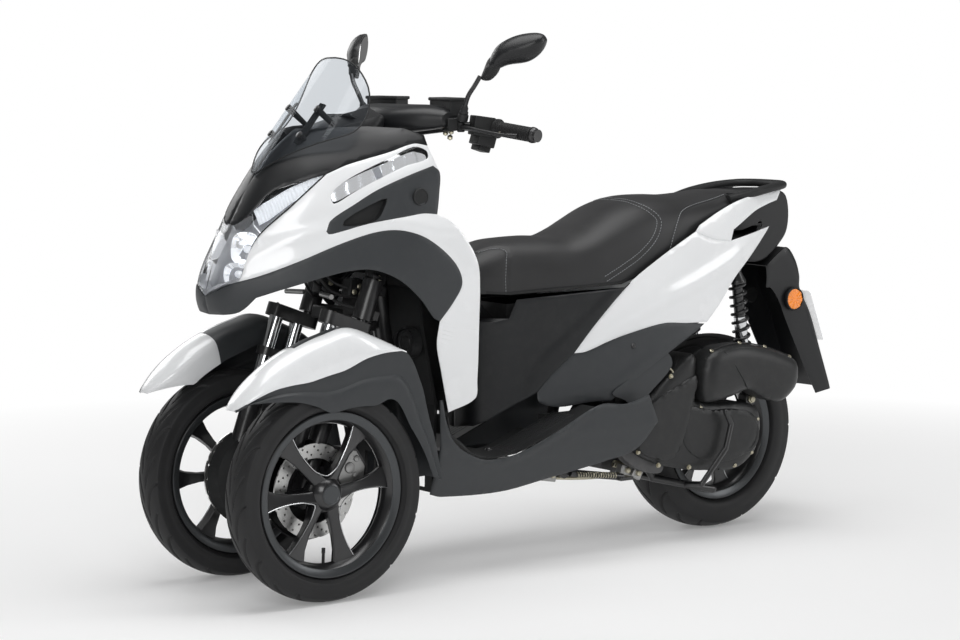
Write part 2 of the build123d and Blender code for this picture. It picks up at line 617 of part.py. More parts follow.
# Mirror shell outline in its own plane, swept back from the stem.
MIRROR = [(-76, -74), (-66, -23), (-34, 23), (10, 51), (45, 62), (68, 60), (84, 28), (63, -12),
          (32, -28), (-29, -30)]
MIRROR_CENTRE = (300, 296, 1238)
with BuildPart() as mirrors:
    shell_plane = Plane(origin=MIRROR_CENTRE, x_dir=(-0.66, 0.75, 0), z_dir=(0.75, 0.66, 0))
    for depth, share in ((0, 1.0), (22, 0.8)):
        with BuildSketch(shell_plane.offset(depth)):
            Polygon(*[(share * u, share * v) for u, v in MIRROR], align=None)
    loft(ruled=True)
    for start, end in (((346, 196, 1112), (357, 226, 1150)), ((357, 226, 1150), (352, 250, 1180))):
        foot, length = tube_plane(start, end)
        with BuildSketch(foot):
            Circle(5.5)
        extrude(amount=length)
        with Locations(end):
            Sphere(6)
    mirror(about=Plane.XZ)
    add(controls.part, mode=Mode.SUBTRACT)
mirrors.part.label = "mirrors"
export_step(mirrors.part, "parts/mirrors.step")

# moulded cover over the bar, open below for the steering stem
COVER_PLAN = [(480, 0), (478, 42), (405, 160), (372, 172), (330, 172), (322, 150), (362, 60), (364, 0)]
with BuildPart() as handlebar_cover:
    with BuildSketch(Plane.XY.offset(1050)):
        Polygon(*COVER_PLAN, *[(x, -y) for x, y in COVER_PLAN[-2:0:-1]], align=None)
    extrude(amount=62)
    with BuildSketch(Plane.XY.offset(1040)):
        Polygon(*COVER_PLAN, *[(x, -y) for x, y in COVER_PLAN[-2:0:-1]], align=None)
        offset(amount=-PANEL, kind=Kind.INTERSECTION)
    extrude(amount=69, mode=Mode.SUBTRACT)
    add(handlebar.part, mode=Mode.SUBTRACT)
    add(controls.part, mode=Mode.SUBTRACT)
handlebar_cover.part.label = "handlebar_cover"
export_step(handlebar_cover.part, "parts/handlebar_cover.step")

# ---------------------------------------------------------------- rear body shell
# Half plan outline at each height: station x and half width, tunnel front to tail.
REAR_STATIONS = [x for x, in aft((x,) for x in (225, 190, 100, 0, -150, -300, -450, -600, -740, -890))]
REAR_WIDTHS = {
    330: [66, 98, 118, 136, 160, 178, 182, 150, 120, 95],
    520: [62, 92, 110, 128, 152, 166, 165, 145, 115, 85],
    660: [70, 98, 116, 134, 155, 163, 158, 142, 112, 80],
    800: [70, 98, 112, 130, 150, 157, 150, 136, 108, 76],
    905: [70, 98, 112, 125, 140, 145, 140, 128, 100, 70],
}
with BuildPart() as rear_hull:
    for z, widths in REAR_WIDTHS.items():
        half = list(zip(REAR_STATIONS, widths))
        with BuildSketch(Plane.XY.offset(z)):
            Polygon(*half, *[(x, -y) for x, y in reversed(half)], align=None)
    loft(ruled=True)
with BuildPart() as rear_core:
    for z, widths in REAR_WIDTHS.items():
        half = [(x - PANEL if x > 0 else x, y - PANEL) for x, y in zip(REAR_STATIONS, widths)]
        half[-1] = (REAR_STATIONS[-1] + PANEL, widths[-1] - PANEL)
        with BuildSketch(Plane.XY.offset(z)):
            Polygon(*half, *[(x, -y) for x, y in reversed(half)], align=None)
    loft(ruled=True)
with BuildPart() as rear_shell:
    add(rear_hull.part)
    add(rear_core.part, mode=Mode.SUBTRACT)

SIDE_TIP = (-43, 512)
SIDE_LOW = [SIDE_TIP, (-74, 514), (-145, 537), (-236, 559), (-315, 572), (-383, 568), (-460, 565)]
SIDE_HIGH = [SIDE_TIP, (-115, 596), (-204, 679), (-301, 737), (-371, 771), (-429, 797)]
FIN_LOW = [(-429, 797), (-498, 775), (-559, 768)]
REAR_PANELS = {
    "centre_cover": [(240, 606), (240, 336), (171, 372), (109, 400), (64, 420), *SIDE_HIGH[:3],
                     (-188, 668), (118, 652), (138, 606)],
    "lower_side_panels": [(60, 419), (56, 392), (0, 379), (-113, 391), (-145, 387), (-296, 480),
                          (-410, 540),
                          (-452, 562), *SIDE_LOW[-2::-1]],
    "rear_side_panels": [*SIDE_HIGH, *FIN_LOW[1:], (-636, 781), (-718, 797), (-657, 738),
                         (-571, 671), (-512, 610)]
    + SIDE_LOW[:0:-1],
    "upper_side_panels": [*FIN_LOW, (-570, 796), (-661, 840), (-760, 864), (-780, 890), (-599, 871),
                          (-444, 813)],
}
for name, outline in REAR_PANELS.items():
    with BuildPart() as panel:
        with BuildSketch(Plane.XZ):
            Polygon(*aft(outline), align=None)
        extrude(amount=300, both=True)
        add(rear_shell.part, mode=Mode.INTERSECT)
        add(frame.part, mode=Mode.SUBTRACT)
    panel.part.label = name
    export_step(panel.part, f"parts/{name}.step")

# dark tail: hollow fairing between the side panels, closed by a deck and the tail lamp
TAIL = aft([(-640, 868), (-760, 890), (-848, 884), (-868, 842), (-876, 770), (-760, 700), (-690, 700),
            (-668, 730),
            (-724, 797), (-636, 784), (-580, 800)])
with BuildPart() as tail_cover:
    with BuildSketch(Plane.XZ):
        Polygon(*TAIL, align=None)
    extrude(amount=72, both=True)
    with BuildSketch(Plane.XZ):
        Polygon(*TAIL, align=None)
        offset(amount=-PANEL, kind=Kind.INTERSECTION)
    extrude(amount=72 - PANEL, both=True, mode=Mode.SUBTRACT)
    add(frame.part, mode=Mode.SUBTRACT)
tail_cover.part.label = "tail_cover"
export_step(tail_cover.part, "parts/tail_cover.step")

# ---------------------------------------------------------------- seat and storage
SEAT_TOP = aft([(226, 672), (231, 705), (224, 738), (200, 762), (131, 795), (6, 797), (-60, 792),
                (-122, 814),
            (-220, 861), (-319, 886), (-388, 887), (-455, 882), (-593, 894), (-640, 893)])
SEAT_LOW = aft([(-660, 884), (-560, 806), (-525, 784), (-354, 724), (-188, 676), (130, 664)])
SEAT_PLAN = aft([(240, 0), (236, 78), (190, 92), (100, 106), (0, 124), (-150, 142), (-300, 146),
                 (-400, 138),
             (-520, 122), (-640, 96), (-665, 60), (-665, 0)])
SEAT_PAN = 6


def seat_section(share):
    """Side view of the cushion, its height over the lower edge scaled by share."""
    section = []
    for x, z in SEAT_TOP:
        (xa, za), (xb, zb) = next(((a, b) for a, b in zip(SEAT_LOW, SEAT_LOW[1:]) if x <= b[0]),
                                  SEAT_LOW[-2:])
        low = za + (zb - za) * (x - xa) / (xb - xa)
        section.append((x, low + (z - low) * share))
    return section + SEAT_LOW


with BuildPart() as seat_block:
    for y, share in ((-150, 0.66), (-104, 0.93), (0, 1.0), (104, 0.93), (150, 0.66)):
        with BuildSketch(Plane.XZ.offset(-y)):
            Polygon(*seat_section(share), align=None)
    loft(ruled=True)
    with BuildSketch(Plane.XY.offset(600)):
        Polygon(*SEAT_PLAN, *[(x, -y) for x, y in SEAT_PLAN[-2:0:-1]], align=None)
    extrude(amount=350, mode=Mode.INTERSECT)
with BuildPart() as pan_zone:
    with BuildSketch(Plane.XZ):
        Polygon((240, 679), *[(x, z + SEAT_PAN) for x, z in SEAT_LOW[::-1]], (-670, 880), (-670, 600),
                (240, 600),
                align=None)
    extrude(amount=200, both=True)
with BuildPart() as seat:
    add(seat_block.part)
    add(pan_zone.part, mode=Mode.SUBTRACT)
seat.part.label = "seat"
export_step(seat.part, "parts/seat.step")

# seat pan: moulded plate under the cushion, with the hinge barrel at its front
HINGE_X, HINGE_Z = 190, 652
with BuildPart() as seat_pan:
    add(seat_block.part)
    add(pan_zone.part, mode=Mode.INTERSECT)
    for y in (-38, 38):
        with BuildSketch(Plane.XZ.offset(-y)):
            with Locations((HINGE_X, HINGE_Z)):
                Circle(9)
            Polygon((HINGE_X - 9, HINGE_Z), (HINGE_X + 9, HINGE_Z), (HINGE_X + 9, 672),
                    (HINGE_X - 9, 672), align=None)
        extrude(amount=10, both=True)
    for y in (-38, 38):
        with BuildSketch(Plane.XZ.offset(-y)):
            with Locations((HINGE_X, HINGE_Z)):
                Circle(4 + FIT)
        extrude(amount=14, both=True, mode=Mode.SUBTRACT)
seat_pan.part.label = "seat_pan"
export_step(seat_pan.part, "parts/seat_pan.step")

# under-seat storage: open-topped tub between the rear rails
TUB = aft([(130, 640), (130, 470), (-180, 440), (-330, 500), (-450, 570), (-470, 640)])
with BuildPart() as storage_box:
    with BuildSketch(Plane.XZ):
        Polygon(*TUB, align=None)
    extrude(amount=86, both=True)
    with BuildSketch(Plane.XZ):
        Polygon(*[(x, z + (40 if z == 640 else 0)) for x, z in TUB], align=None)
        offset(amount=-PANEL, kind=Kind.INTERSECTION)
    extrude(amount=86 - PANEL, both=True, mode=Mode.SUBTRACT)
    # hinge bracket at the front of the tub, its pin through the seat pan's barrels
    with BuildSketch(Plane.XZ):
        Polygon(*aft([(126, 600), (130, 560)]), (198, 646), (184, 660), align=None)
        with Locations((HINGE_X, HINGE_Z)):
            Circle(10)
    extrude(amount=26, both=True)
    with BuildSketch(Plane.XZ):
        with Locations((HINGE_X, HINGE_Z)):
            Circle(4)
    extrude(amount=52, both=True)
storage_box.part.label = "storage_box"
export_step(storage_box.part, "parts/storage_box.step")

# ---------------------------------------------------------------- floor
FLOOR_Y = 205
FLOOR_RIM = aft([(402, 438), (396, 352), (328, 302), (268, 280), (177, 288), (54, 337), (-73, 388),
                 (-160, 384),
                 (-235, 400)])
FLOOR_BOTTOM = aft([(-262, 330), (-205, 262), (-116, 240), (60, 212), (199, 192), (380, 198),
                    (420, 205), (416, 330),
                    (412, 438)])
with BuildPart() as floor_core:
    for z, y in ((150, 128), (230, 168), (330, FLOOR_Y - PANEL), (440, FLOOR_Y - 10 - PANEL)):
        with BuildSketch(Plane.XY.offset(z)):
            Rectangle(900, 2 * y)
    loft(ruled=True)
with BuildPart() as floor_skirts:
    for z, y in ((150, 131), (230, 171), (330, FLOOR_Y), (440, FLOOR_Y - 10)):
        with BuildSketch(Plane.XY.offset(z)):
            Rectangle(1000, 2 * y)
    loft(ruled=True)
    add(floor_core.part, mode=Mode.SUBTRACT)
    with BuildSketch(Plane.XZ):
        Polygon(*FLOOR_RIM, *FLOOR_BOTTOM, align=None)
    extrude(amount=300, both=True, mode=Mode.INTERSECT)
floor_skirts.part.label = "floor_skirts"
export_step(floor_skirts.part, "parts/floor_skirts.step")

# footboard: one tray from the leg shield to the tunnel, open where the tunnel stands
BOARD = aft([(390, 400), (384, 356), (322, 306), (266, 284), (177, 292), (60, 338), (-60, 384)])
with BuildPart() as footboard:
    with BuildSketch(Plane.XZ):
        Polygon(*BOARD, *[(x + 2, z - 4) for x, z in reversed(BOARD)], align=None)
    extrude(amount=300, both=True)
    add(floor_core.part, mode=Mode.INTERSECT)
    add(rear_hull.part, mode=Mode.SUBTRACT)
    with Locations((0, 0, 300)):
        Box(420, 130, 200, mode=Mode.SUBTRACT)
    with Locations((400, 0, 380)):
        Box(120, 60, 240, mode=Mode.SUBTRACT)
    add(frame.part, mode=Mode.SUBTRACT)
    add(inner_fender.part, mode=Mode.SUBTRACT)
footboard.part.label = "footboard"
export_step(footboard.part, "parts/footboard.step")

# ---------------------------------------------------------------- engine and rear drive
CENTRE_PIVOT = aft([(-330, 196)])[0]          # centre stand axis, through the crankcase
with BuildPart() as engine_block:
    with BuildSketch(Plane.XZ):
        Polygon(*aft([(-190, 200), (-190, 330), (-240, 400), (-330, 400), (-346, 300), (-340, 200),
                      (-280, 178)]),
                align=None)
    extrude(amount=66, both=True)
    with Locations((-140 + REAR_SHIFT, 0, 285)):
        Box(110, 120, 100)
    with BuildSketch(Plane.XZ):
        with Locations(CENTRE_PIVOT):
            Circle(8)
    extrude(amount=79, both=True)
engine_block.part.label = "engine_block"
export_step(engine_block.part, "parts/engine_block.step")

CASE = aft([(-206, 285), (-229, 333), (-311, 415), (-418, 488), (-432, 470), (-424, 356), (-569, 343),
            (-680, 362),
        (-690, 330), (-648, 271), (-642, 205), (-572, 173), (-398, 190), (-280, 222),
            (-223, 253)])
(SHOCK_LOW, SHOCK_HIGH), SHOCK_Y = aft([(-662, 345), (-614, 712)]), 97
with BuildPart() as drive_case:
    with BuildSketch(Plane.XZ.offset(-80)):
        Polygon(*CASE, align=None)
    extrude(amount=-92)
    with BuildSketch(Plane.XZ.offset(-120)):
        Polygon(*aft([(-636, 300), (-700, 300), (-700, 400), (-560, 400), (-560, 345), (-636, 345)]),
                align=None)
    extrude(amount=-60, mode=Mode.SUBTRACT)
    with BuildSketch(Plane.XZ.offset(-70)):
        Polygon(*aft([(-636, 300), (-700, 300), (-700, 400), (-600, 400), (-600, 340), (-636, 340)]),
                align=None)
    extrude(amount=-42, mode=Mode.SUBTRACT)
    with BuildSketch(Plane.XZ.offset(-90)):
        with Locations((REAR_AXLE_X, REAR_RADIUS)):
            Circle(AXLE_RADIUS["rear"])
    extrude(amount=214)
drive_case.part.label = "drive_case"
export_step(drive_case.part, "parts/drive_case.step")

# right rear arm from the engine to the axle end
with BuildPart() as rear_arm:
    with BuildSketch(Plane.XZ.offset(112)):
        Polygon(*aft([(-300, 220), (-300, 330), (-430, 310), (-600, 300), (-676, 366), (-694, 340),
                      (-640, 236),
                      (-600, 222)]), align=None)
    extrude(amount=12)
    with BuildSketch(Plane.XZ.offset(66)):
        Polygon(*aft([(-300, 225), (-300, 325), (-340, 318), (-340, 228)]), align=None)
    extrude(amount=46)
    add(drive_case.part, mode=Mode.SUBTRACT)
rear_arm.part.label = "rear_arm"
export_step(rear_arm.part, "parts/rear_arm.step")

AIRBOX = aft([(-446, 470), (-479, 494), (-566, 504), (-655, 487), (-763, 443), (-771, 400), (-711, 342),
              (-664, 349),
              (-585, 382), (-533, 368), (-438, 362)])
with BuildPart() as airbox:
    with BuildSketch(Plane.XZ.offset(-124)):
        Polygon(*AIRBOX, align=None)
    extrude(amount=-70)
    with BuildSketch(Plane.XZ.offset(-127)):
        Polygon(*AIRBOX, align=None)
        offset(amount=-PANEL, kind=Kind.INTERSECTION)
    extrude(amount=-64, mode=Mode.SUBTRACT)
    with BuildSketch(Plane.XZ.offset(-110)):
        Polygon(*aft([(-540, 372), (-540, 345), (-560, 344), (-560, 380)]), align=None)
    extrude(amount=-30)
    add(drive_case.part, mode=Mode.SUBTRACT)
airbox.part.label = "airbox"
export_step(airbox.part, "parts/airbox.step")

# exhaust: pipe under the engine and silencer on the right
with BuildPart() as exhaust:
    for start, end, radius in (((-110, -40, 235), (-130, -60, 190), 16),
                               ((-130, -60, 190), (-300, -140, 190), 16),
                               ((-300, -140, 190), (-380, -165, 260), 16),
                               ((-380, -165, 260), (-470, -168, 290), 32),
                               ((-470, -168, 290), (-800, -172, 396), 58)):
        start, end = aft([start, end])
        foot, length = tube_plane(start, end)
        with BuildSketch(foot):
            Circle(radius)
        extrude(amount=length)
        if radius < 20:
            with Locations(end):
                Sphere(radius)
    with Locations((-560 + REAR_SHIFT, -110, 318)):
        Box(30, 30, 20)
    add(engine_block.part, mode=Mode.SUBTRACT)
    add(rear_arm.part, mode=Mode.SUBTRACT)
exhaust.part.label = "exhaust"
export_step(exhaust.part, "parts/exhaust.step")

with BuildPart() as rear_shocks:
    for side in (1, -1):
        foot, length = tube_plane((SHOCK_LOW[0], side * SHOCK_Y, SHOCK_LOW[1]),
                                  (SHOCK_HIGH[0], side * SHOCK_Y, SHOCK_HIGH[1]))
        with BuildSketch(foot.offset(8)):
            Circle(14)
        extrude(amount=length - 16)
        for height in (110, length - 60):
            with BuildSketch(foot.offset(height)):
                Circle(22)
            extrude(amount=6)
        for x, z in (SHOCK_LOW, SHOCK_HIGH):
            with BuildSketch(Plane.XZ.offset(-side * SHOCK_Y)):
                with Locations((x, z)):
                    Circle(18)
            extrude(amount=15, both=True)
    add(drive_case.part, mode=Mode.SUBTRACT)
    add(rear_arm.part, mode=Mode.SUBTRACT)
    add(frame.part, mode=Mode.SUBTRACT)
rear_shocks.part.label = "rear_shocks"
export_step(rear_shocks.part, "parts/rear_shocks.step")

# ---------------------------------------------------------------- rear mudguard and tail
GUARD_REAR = aft([(-745, 632), (-770, 707), (-820, 737), (-868, 664), (-864, 627), (-908, 556),
                  (-990, 345), (-949, 329),
                  (-923, 342), (-835, 506)])
with BuildPart() as rear_fender:
    with BuildSketch(Plane.XZ):
        Polygon(*GUARD_REAR, align=None)
    extrude(amount=82, both=True)
    with BuildSketch(Plane.XZ):
        Polygon(*aft([(-700, 600), (-768, 700), (-816, 729), (-862, 662), (-860, 627), (-904, 556),
                      (-986, 340),
                      (-940, 300), (-800, 500)]), align=None)
    extrude(amount=82 - PANEL, both=True, mode=Mode.SUBTRACT)
    add(tail_cover.part, mode=Mode.SUBTRACT)
rear_fender.part.label = "rear_fender"
export_step(rear_fender.part, "parts/rear_fender.step")

PLATE_Z, PLATE_WIDTH, PLATE_HEIGHT = 616, 200, 145
with BuildPart() as number_plate:
    (xa, za), (xb, zb) = GUARD_REAR[5:7]
    top_x = xa + (PLATE_Z - za) * (xb - xa) / (zb - za)
    tilt = Plane(origin=(top_x, 0, PLATE_Z), x_dir=(0, 1, 0), z_dir=(zb - za, 0, xa - xb))
    with BuildSketch(tilt):
        with Locations((0, PLATE_HEIGHT / 2)):
            RectangleRounded(PLATE_WIDTH, PLATE_HEIGHT, 8)
    extrude(amount=2)
number_plate.part.label = "number_plate"
export_step(number_plate.part, "parts/number_plate.step")

with BuildPart() as side_reflectors:
    for side in (1, -1):
        with BuildSketch(Plane.XZ.offset(-side * 82)):
            with Locations((-838 + REAR_SHIFT, 597)):
                Circle(30)
        extrude(amount=-side * 10)
side_reflectors.part.label = "side_reflectors"
export_step(side_reflectors.part, "parts/side_reflectors.step")

with BuildPart() as tail_lamp:
    with BuildSketch(Plane.XZ):
        Polygon(*aft([(-849, 880), (-869, 842), (-874, 800), (-884, 800), (-881, 842), (-860, 882)]),
                align=None)
    extrude(amount=66, both=True)
    add(tail_cover.part, mode=Mode.SUBTRACT)
tail_lamp.part.label = "tail_lamp"
export_step(tail_lamp.part, "parts/tail_lamp.step")

# passenger grab rail: U-shaped bar over the tail, open behind the seat for the hand
with BuildPart() as grab_rail:
    with BuildSketch(Plane.XY.offset(896)):
        Polygon(*aft([(-700, 118), (-820, 84), (-834, 40), (-834, -40), (-820, -84), (-700, -118),
                      (-700, -98),
                      (-798, -70), (-806, -34), (-806, 34), (-798, 70), (-700, 98)]), align=None)
    extrude(amount=18)
    for side in (1, -1):
        with Locations((-810 + REAR_SHIFT, side * 50, 892)):
            Box(20, 20, 14)
    add(tail_cover.part, mode=Mode.SUBTRACT)
grab_rail.part.label = "grab_rail"
export_step(grab_rail.part, "parts/grab_rail.step")

# ---------------------------------------------------------------- stands
with BuildPart() as side_stand:
    with BuildSketch(Plane.XZ.offset(-118)):
        with Locations(SIDE_PIVOT):
            Circle(16)
            Circle(6 + FIT, mode=Mode.SUBTRACT)
    extrude(amount=-10)
    foot, length = tube_plane((SIDE_PIVOT[0] - 16, 129, SIDE_PIVOT[1] - 3),
                              (SIDE_PIVOT[0] - 176, 142, 188))
    with BuildSketch(foot):
        Circle(9)
    extrude(amount=length)
    with Locations((SIDE_PIVOT[0] - 176, 144, 186)):
        Box(40, 34, 8)
    with Locations((SIDE_PIVOT[0], 118, SIDE_PIVOT[1])):
        Cylinder(6 + FIT, 60, rotation=(90, 0, 0), mode=Mode.SUBTRACT)
side_stand.part.label = "side_stand"
export_step(side_stand.part, "parts/side_stand.step")

STAND_TUBES = [((-352, 78, 162), (-352, -78, 162), 9)]
for side in (1, -1):
    STAND_TUBES += [((-340, side * 77, 180), (-352, side * 78, 162), 9),
                    ((-352, side * 78, 162), (-480, side * 118, 130), 10),
                    ((-480, side * 118, 130), (-520, side * 122, 122), 10)]
STAND_TUBES += [((-440, 106, 140), (-426, 184, 152), 8), ((-426, 184, 152), (-500, 192, 238), 7),
                ((-500, 192, 238), (-518, 192, 300), 7), ((-518, 192, 300), (-500, 192, 334), 7)]
with BuildPart() as centre_stand:
    for start, end, radius in STAND_TUBES:
        start, end = aft([start, end])
        foot, length = tube_plane(start, end)
        with BuildSketch(foot):
            Circle(radius)
        extrude(amount=length)
        with Locations(start, end):
            Sphere(radius)
    with BuildSketch(Plane.XZ.offset(-68)):
        with Locations(CENTRE_PIVOT):
            Circle(18)
            Circle(8 + FIT, mode=Mode.SUBTRACT)
    extrude(amount=-8)
    with BuildSketch(Plane.XZ.offset(68)):
        with Locations(CENTRE_PIVOT):
            Circle(18)
            Circle(8 + FIT, mode=Mode.SUBTRACT)
    extrude(amount=8)
centre_stand.part.label = "centre_stand"
export_step(centre_stand.part, "parts/centre_stand.step")
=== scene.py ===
import math

import bmesh
import bpy
import numpy as np
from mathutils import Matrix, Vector
from mathutils.bvhtree import BVHTree
from mathutils.geometry import delaunay_2d_cdt


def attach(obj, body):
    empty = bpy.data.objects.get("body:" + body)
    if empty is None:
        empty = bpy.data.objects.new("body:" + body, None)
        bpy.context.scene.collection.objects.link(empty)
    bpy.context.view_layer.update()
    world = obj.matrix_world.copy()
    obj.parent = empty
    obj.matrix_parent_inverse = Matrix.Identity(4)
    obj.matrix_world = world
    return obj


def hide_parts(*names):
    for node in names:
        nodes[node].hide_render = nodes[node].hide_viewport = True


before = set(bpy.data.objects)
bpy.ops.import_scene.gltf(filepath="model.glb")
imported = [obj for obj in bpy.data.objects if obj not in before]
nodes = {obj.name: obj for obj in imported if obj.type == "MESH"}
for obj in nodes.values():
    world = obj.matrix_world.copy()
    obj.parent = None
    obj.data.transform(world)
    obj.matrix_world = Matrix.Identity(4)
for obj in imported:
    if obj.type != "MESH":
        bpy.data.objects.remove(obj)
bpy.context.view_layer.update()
MM = 0.001


# ---------------------------------------------------------------- chassis steel
# The tube frame, lean arms, forks, handlebar, shocks and stands: steel under satin black powder coat,
# with a faint orange peel. Every finish below is built by the same few node helpers.
class Shade:
    """A socket in a material's nodes; arithmetic on it adds Math nodes."""

    def __init__(self, tree, socket=None):
        self.tree, self.socket = tree, socket

    def node(self, kind, sockets=None, out=0, **settings):
        made = self.tree.nodes.new("ShaderNode" + kind)
        for key, value in settings.items():
            setattr(made, key, value)
        for key, value in (sockets or {}).items():
            if isinstance(value, Shade):
                self.tree.links.new(value.socket, made.inputs[key])
            else:
                made.inputs[key].default_value = value
        return Shade(self.tree, made.outputs[out] if made.outputs else None)

    def maths(self, operation, *values):
        return self.node("Math", dict(enumerate(values)), operation=operation)

    def __add__(self, other): return self.maths("ADD", self, other)
    def __radd__(self, other): return self.maths("ADD", other, self)
    def __sub__(self, other): return self.maths("SUBTRACT", self, other)
    def __rsub__(self, other): return self.maths("SUBTRACT", other, self)
    def __mul__(self, other): return self.maths("MULTIPLY", self, other)
    def __rmul__(self, other): return self.maths("MULTIPLY", other, self)
    def __pow__(self, other): return self.maths("POWER", self, other)

    def above(self, level, blur=0.02):
        """1 where this value is over the level, 0 under it, with a soft step between."""
        return self.node("MapRange", {"Value": self, "From Min": level - blur, "From Max": level + blur})

    def noise(self, size_mm, detail=3.0, roughness=0.5):
        """Even noise from 0 to 1, its blobs about size_mm across, at this place."""
        return self.node("TexNoise", {"Vector": self, "Scale": 1000.0 / size_mm, "Detail": detail,
                                      "Roughness": roughness})

    def mix(self, first, second):
        """Colour between first and second, this value as the share of the second."""
        return self.node("Mix", {0: self, 6: first, 7: second}, out=2, data_type="RGBA")

    def apart(self):
        """The x, y and z of this place."""
        return [self.node("SeparateXYZ", {0: self}, out=i) for i in range(3)]


def new_finish(name):
    """An empty material and the place on the piece, in metres."""
    material = bpy.data.materials.new(name)
    material.use_nodes = True
    material.node_tree.nodes.clear()
    here = Shade(material.node_tree).node("TexCoord", out="Object")
    return material, here


def close_finish(material, here, colour, rough, relief=None, depth_mm=0.1, **constants):
    """Shader and output of a finish; relief is a height from 0 to 1 over depth_mm."""
    sockets = {"Base Color": colour, "Roughness": rough}
    sockets.update({key.replace("_", " "): value for key, value in constants.items()})
    if relief is not None:
        sockets["Normal"] = here.node("Bump", {"Height": relief, "Distance": depth_mm * MM, "Strength": 1.0})
    here.node("OutputMaterial", {"Surface": here.node("BsdfPrincipled", sockets)})
    return material


def solid_finish(name, colour, rough, grain_mm=0.6, grain_depth=0.02, patch=0.12, dust=0.0, **constants):
    """A one-colour finish with slight patches of gloss and shade and a fine surface grain."""
    material, here = new_finish(name)
    patches = here.noise(90, 4.0)
    fine = here.noise(grain_mm, 2.0)
    tint = patches * patch + (1.0 - patch / 2)
    shaded = here.node("VectorMath", {0: colour[:3], "Scale": tint}, operation="SCALE")
    if dust:
        worn = (here.noise(28, 5.0, 0.7) - 0.52).above(0.05, 0.12) * dust
        shaded = worn.mix(shaded, (0.22, 0.21, 0.2, 1.0))
    gloss = patches * 0.12 + fine * 0.05 + (rough - 0.085)
    return close_finish(material, here, shaded, gloss, fine, grain_depth, **constants)


steel_black = solid_finish("powder_coated_steel", (0.012, 0.012, 0.013), 0.34, 1.6, 0.05, dust=0.05,
                           Coat_Weight=0.3, Coat_Roughness=0.2)


def dress(material, *names):
    """Gives CAD nodes their finish."""
    for name in names:
        node = nodes[name]
        node.data.materials.clear()
        node.data.materials.append(material)


dress(steel_black, "frame", "lean_arms", "left_fork", "right_fork", "side_stand", "centre_stand",
      "handlebar", "rear_shocks")


def placed(name, data):
    """A new object in the scene."""
    thing = bpy.data.objects.new(name, data)
    bpy.context.scene.collection.objects.link(thing)
    return thing


def make(name, points, faces, material, body, stands_for=(), sharp=38, weld=0.01):
    """A mesh piece in millimetres that rides on a body and may stand for CAD nodes."""
    mesh = bpy.data.meshes.new(name)
    work = bmesh.new()
    corners = [work.verts.new(Vector(p) * MM) for p in points]
    for face in faces:
        if len(set(face)) > 2:
            try:
                work.faces.new([corners[i] for i in face])
            except ValueError:                       # the same face is there already
                pass
    if weld:
        bmesh.ops.remove_doubles(work, verts=work.verts, dist=weld * MM)
    bmesh.ops.recalc_face_normals(work, faces=work.faces)
    work.to_mesh(mesh)
    work.free()
    mesh.shade_smooth()
    mesh.set_sharp_from_angle(angle=math.radians(sharp))
    piece = placed(name, mesh)
    mesh.materials.append(material)
    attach(piece, body)
    if stands_for:
        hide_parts(*stands_for)
    return piece


def blend(t, start, start_slope, end, end_slope):
    """Smooth value at a share t of the way from start to end."""
    return ((2 * t**3 - 3 * t**2 + 1) * start + (t**3 - 2 * t**2 + t) * start_slope
            + (3 * t**2 - 2 * t**3) * end + (t**3 - t**2) * end_slope)


def run_along(path):
    """Distance run along a path at each of its points."""
    return np.concatenate([[0], np.cumsum(np.linalg.norm(np.diff(path, axis=0), axis=1))])


def curve(points, steps=8, closed=False):
    """Smooth curve through points of any dimension; a doubled point makes a corner."""
    points = np.asarray(points, float)
    count = len(points)
    found = []
    for i in range(count if closed else count - 1):
        p1, p2 = points[i], points[(i + 1) % count]
        span = np.linalg.norm(p2 - p1)
        if span < 1e-6:
            continue
        p0 = points[(i - 1) % count] if closed or i else p1
        p3 = points[(i + 2) % count] if closed or i + 2 < count else p2
        before, after = np.linalg.norm(p1 - p0), np.linalg.norm(p3 - p2)
        m1 = (p2 - p0) / (before + span) * span if before > 1e-6 else p2 - p1
        m2 = (p3 - p1) / (after + span) * span if after > 1e-6 else p2 - p1
        for k in range(steps):
            found.append(blend(k / steps, p1, m1, p2, m2))
    if not closed:
        found.append(points[-1])
    return np.array(found)


def lathe(profile, axle, steps, shift=None, hand=1):
    """Rings of (y, radius) profile points about an axle along Y at (x, y, z); hand -1 turns it round."""
    x, y, z = axle
    rows = len(profile)
    points = []
    for k in range(steps):
        turn = 2 * math.pi * k / steps
        for j, (side, radius) in enumerate(profile):
            radius = radius + (shift[k][j] if shift is not None else 0)
            points.append((x + radius * math.cos(turn), y + hand * side, z + radius * math.sin(turn)))
    starts = [(k * rows + j, (k + 1) % steps * rows + j) for k in range(steps) for j in range(rows - 1)]
    return points, [(a, a + 1, b + 1, b) for a, b in starts]


rubber, here = new_finish("tyre_rubber")
bloom = here.noise(60, 4.0)
fine = here.noise(0.9, 3.0)
rubber = close_finish(rubber, here, bloom.mix((0.012, 0.012, 0.0125, 1), (0.022, 0.022, 0.023, 1)),
                      bloom * 0.1 + 0.5, fine, 0.06, Specular_IOR_Level=0.35)
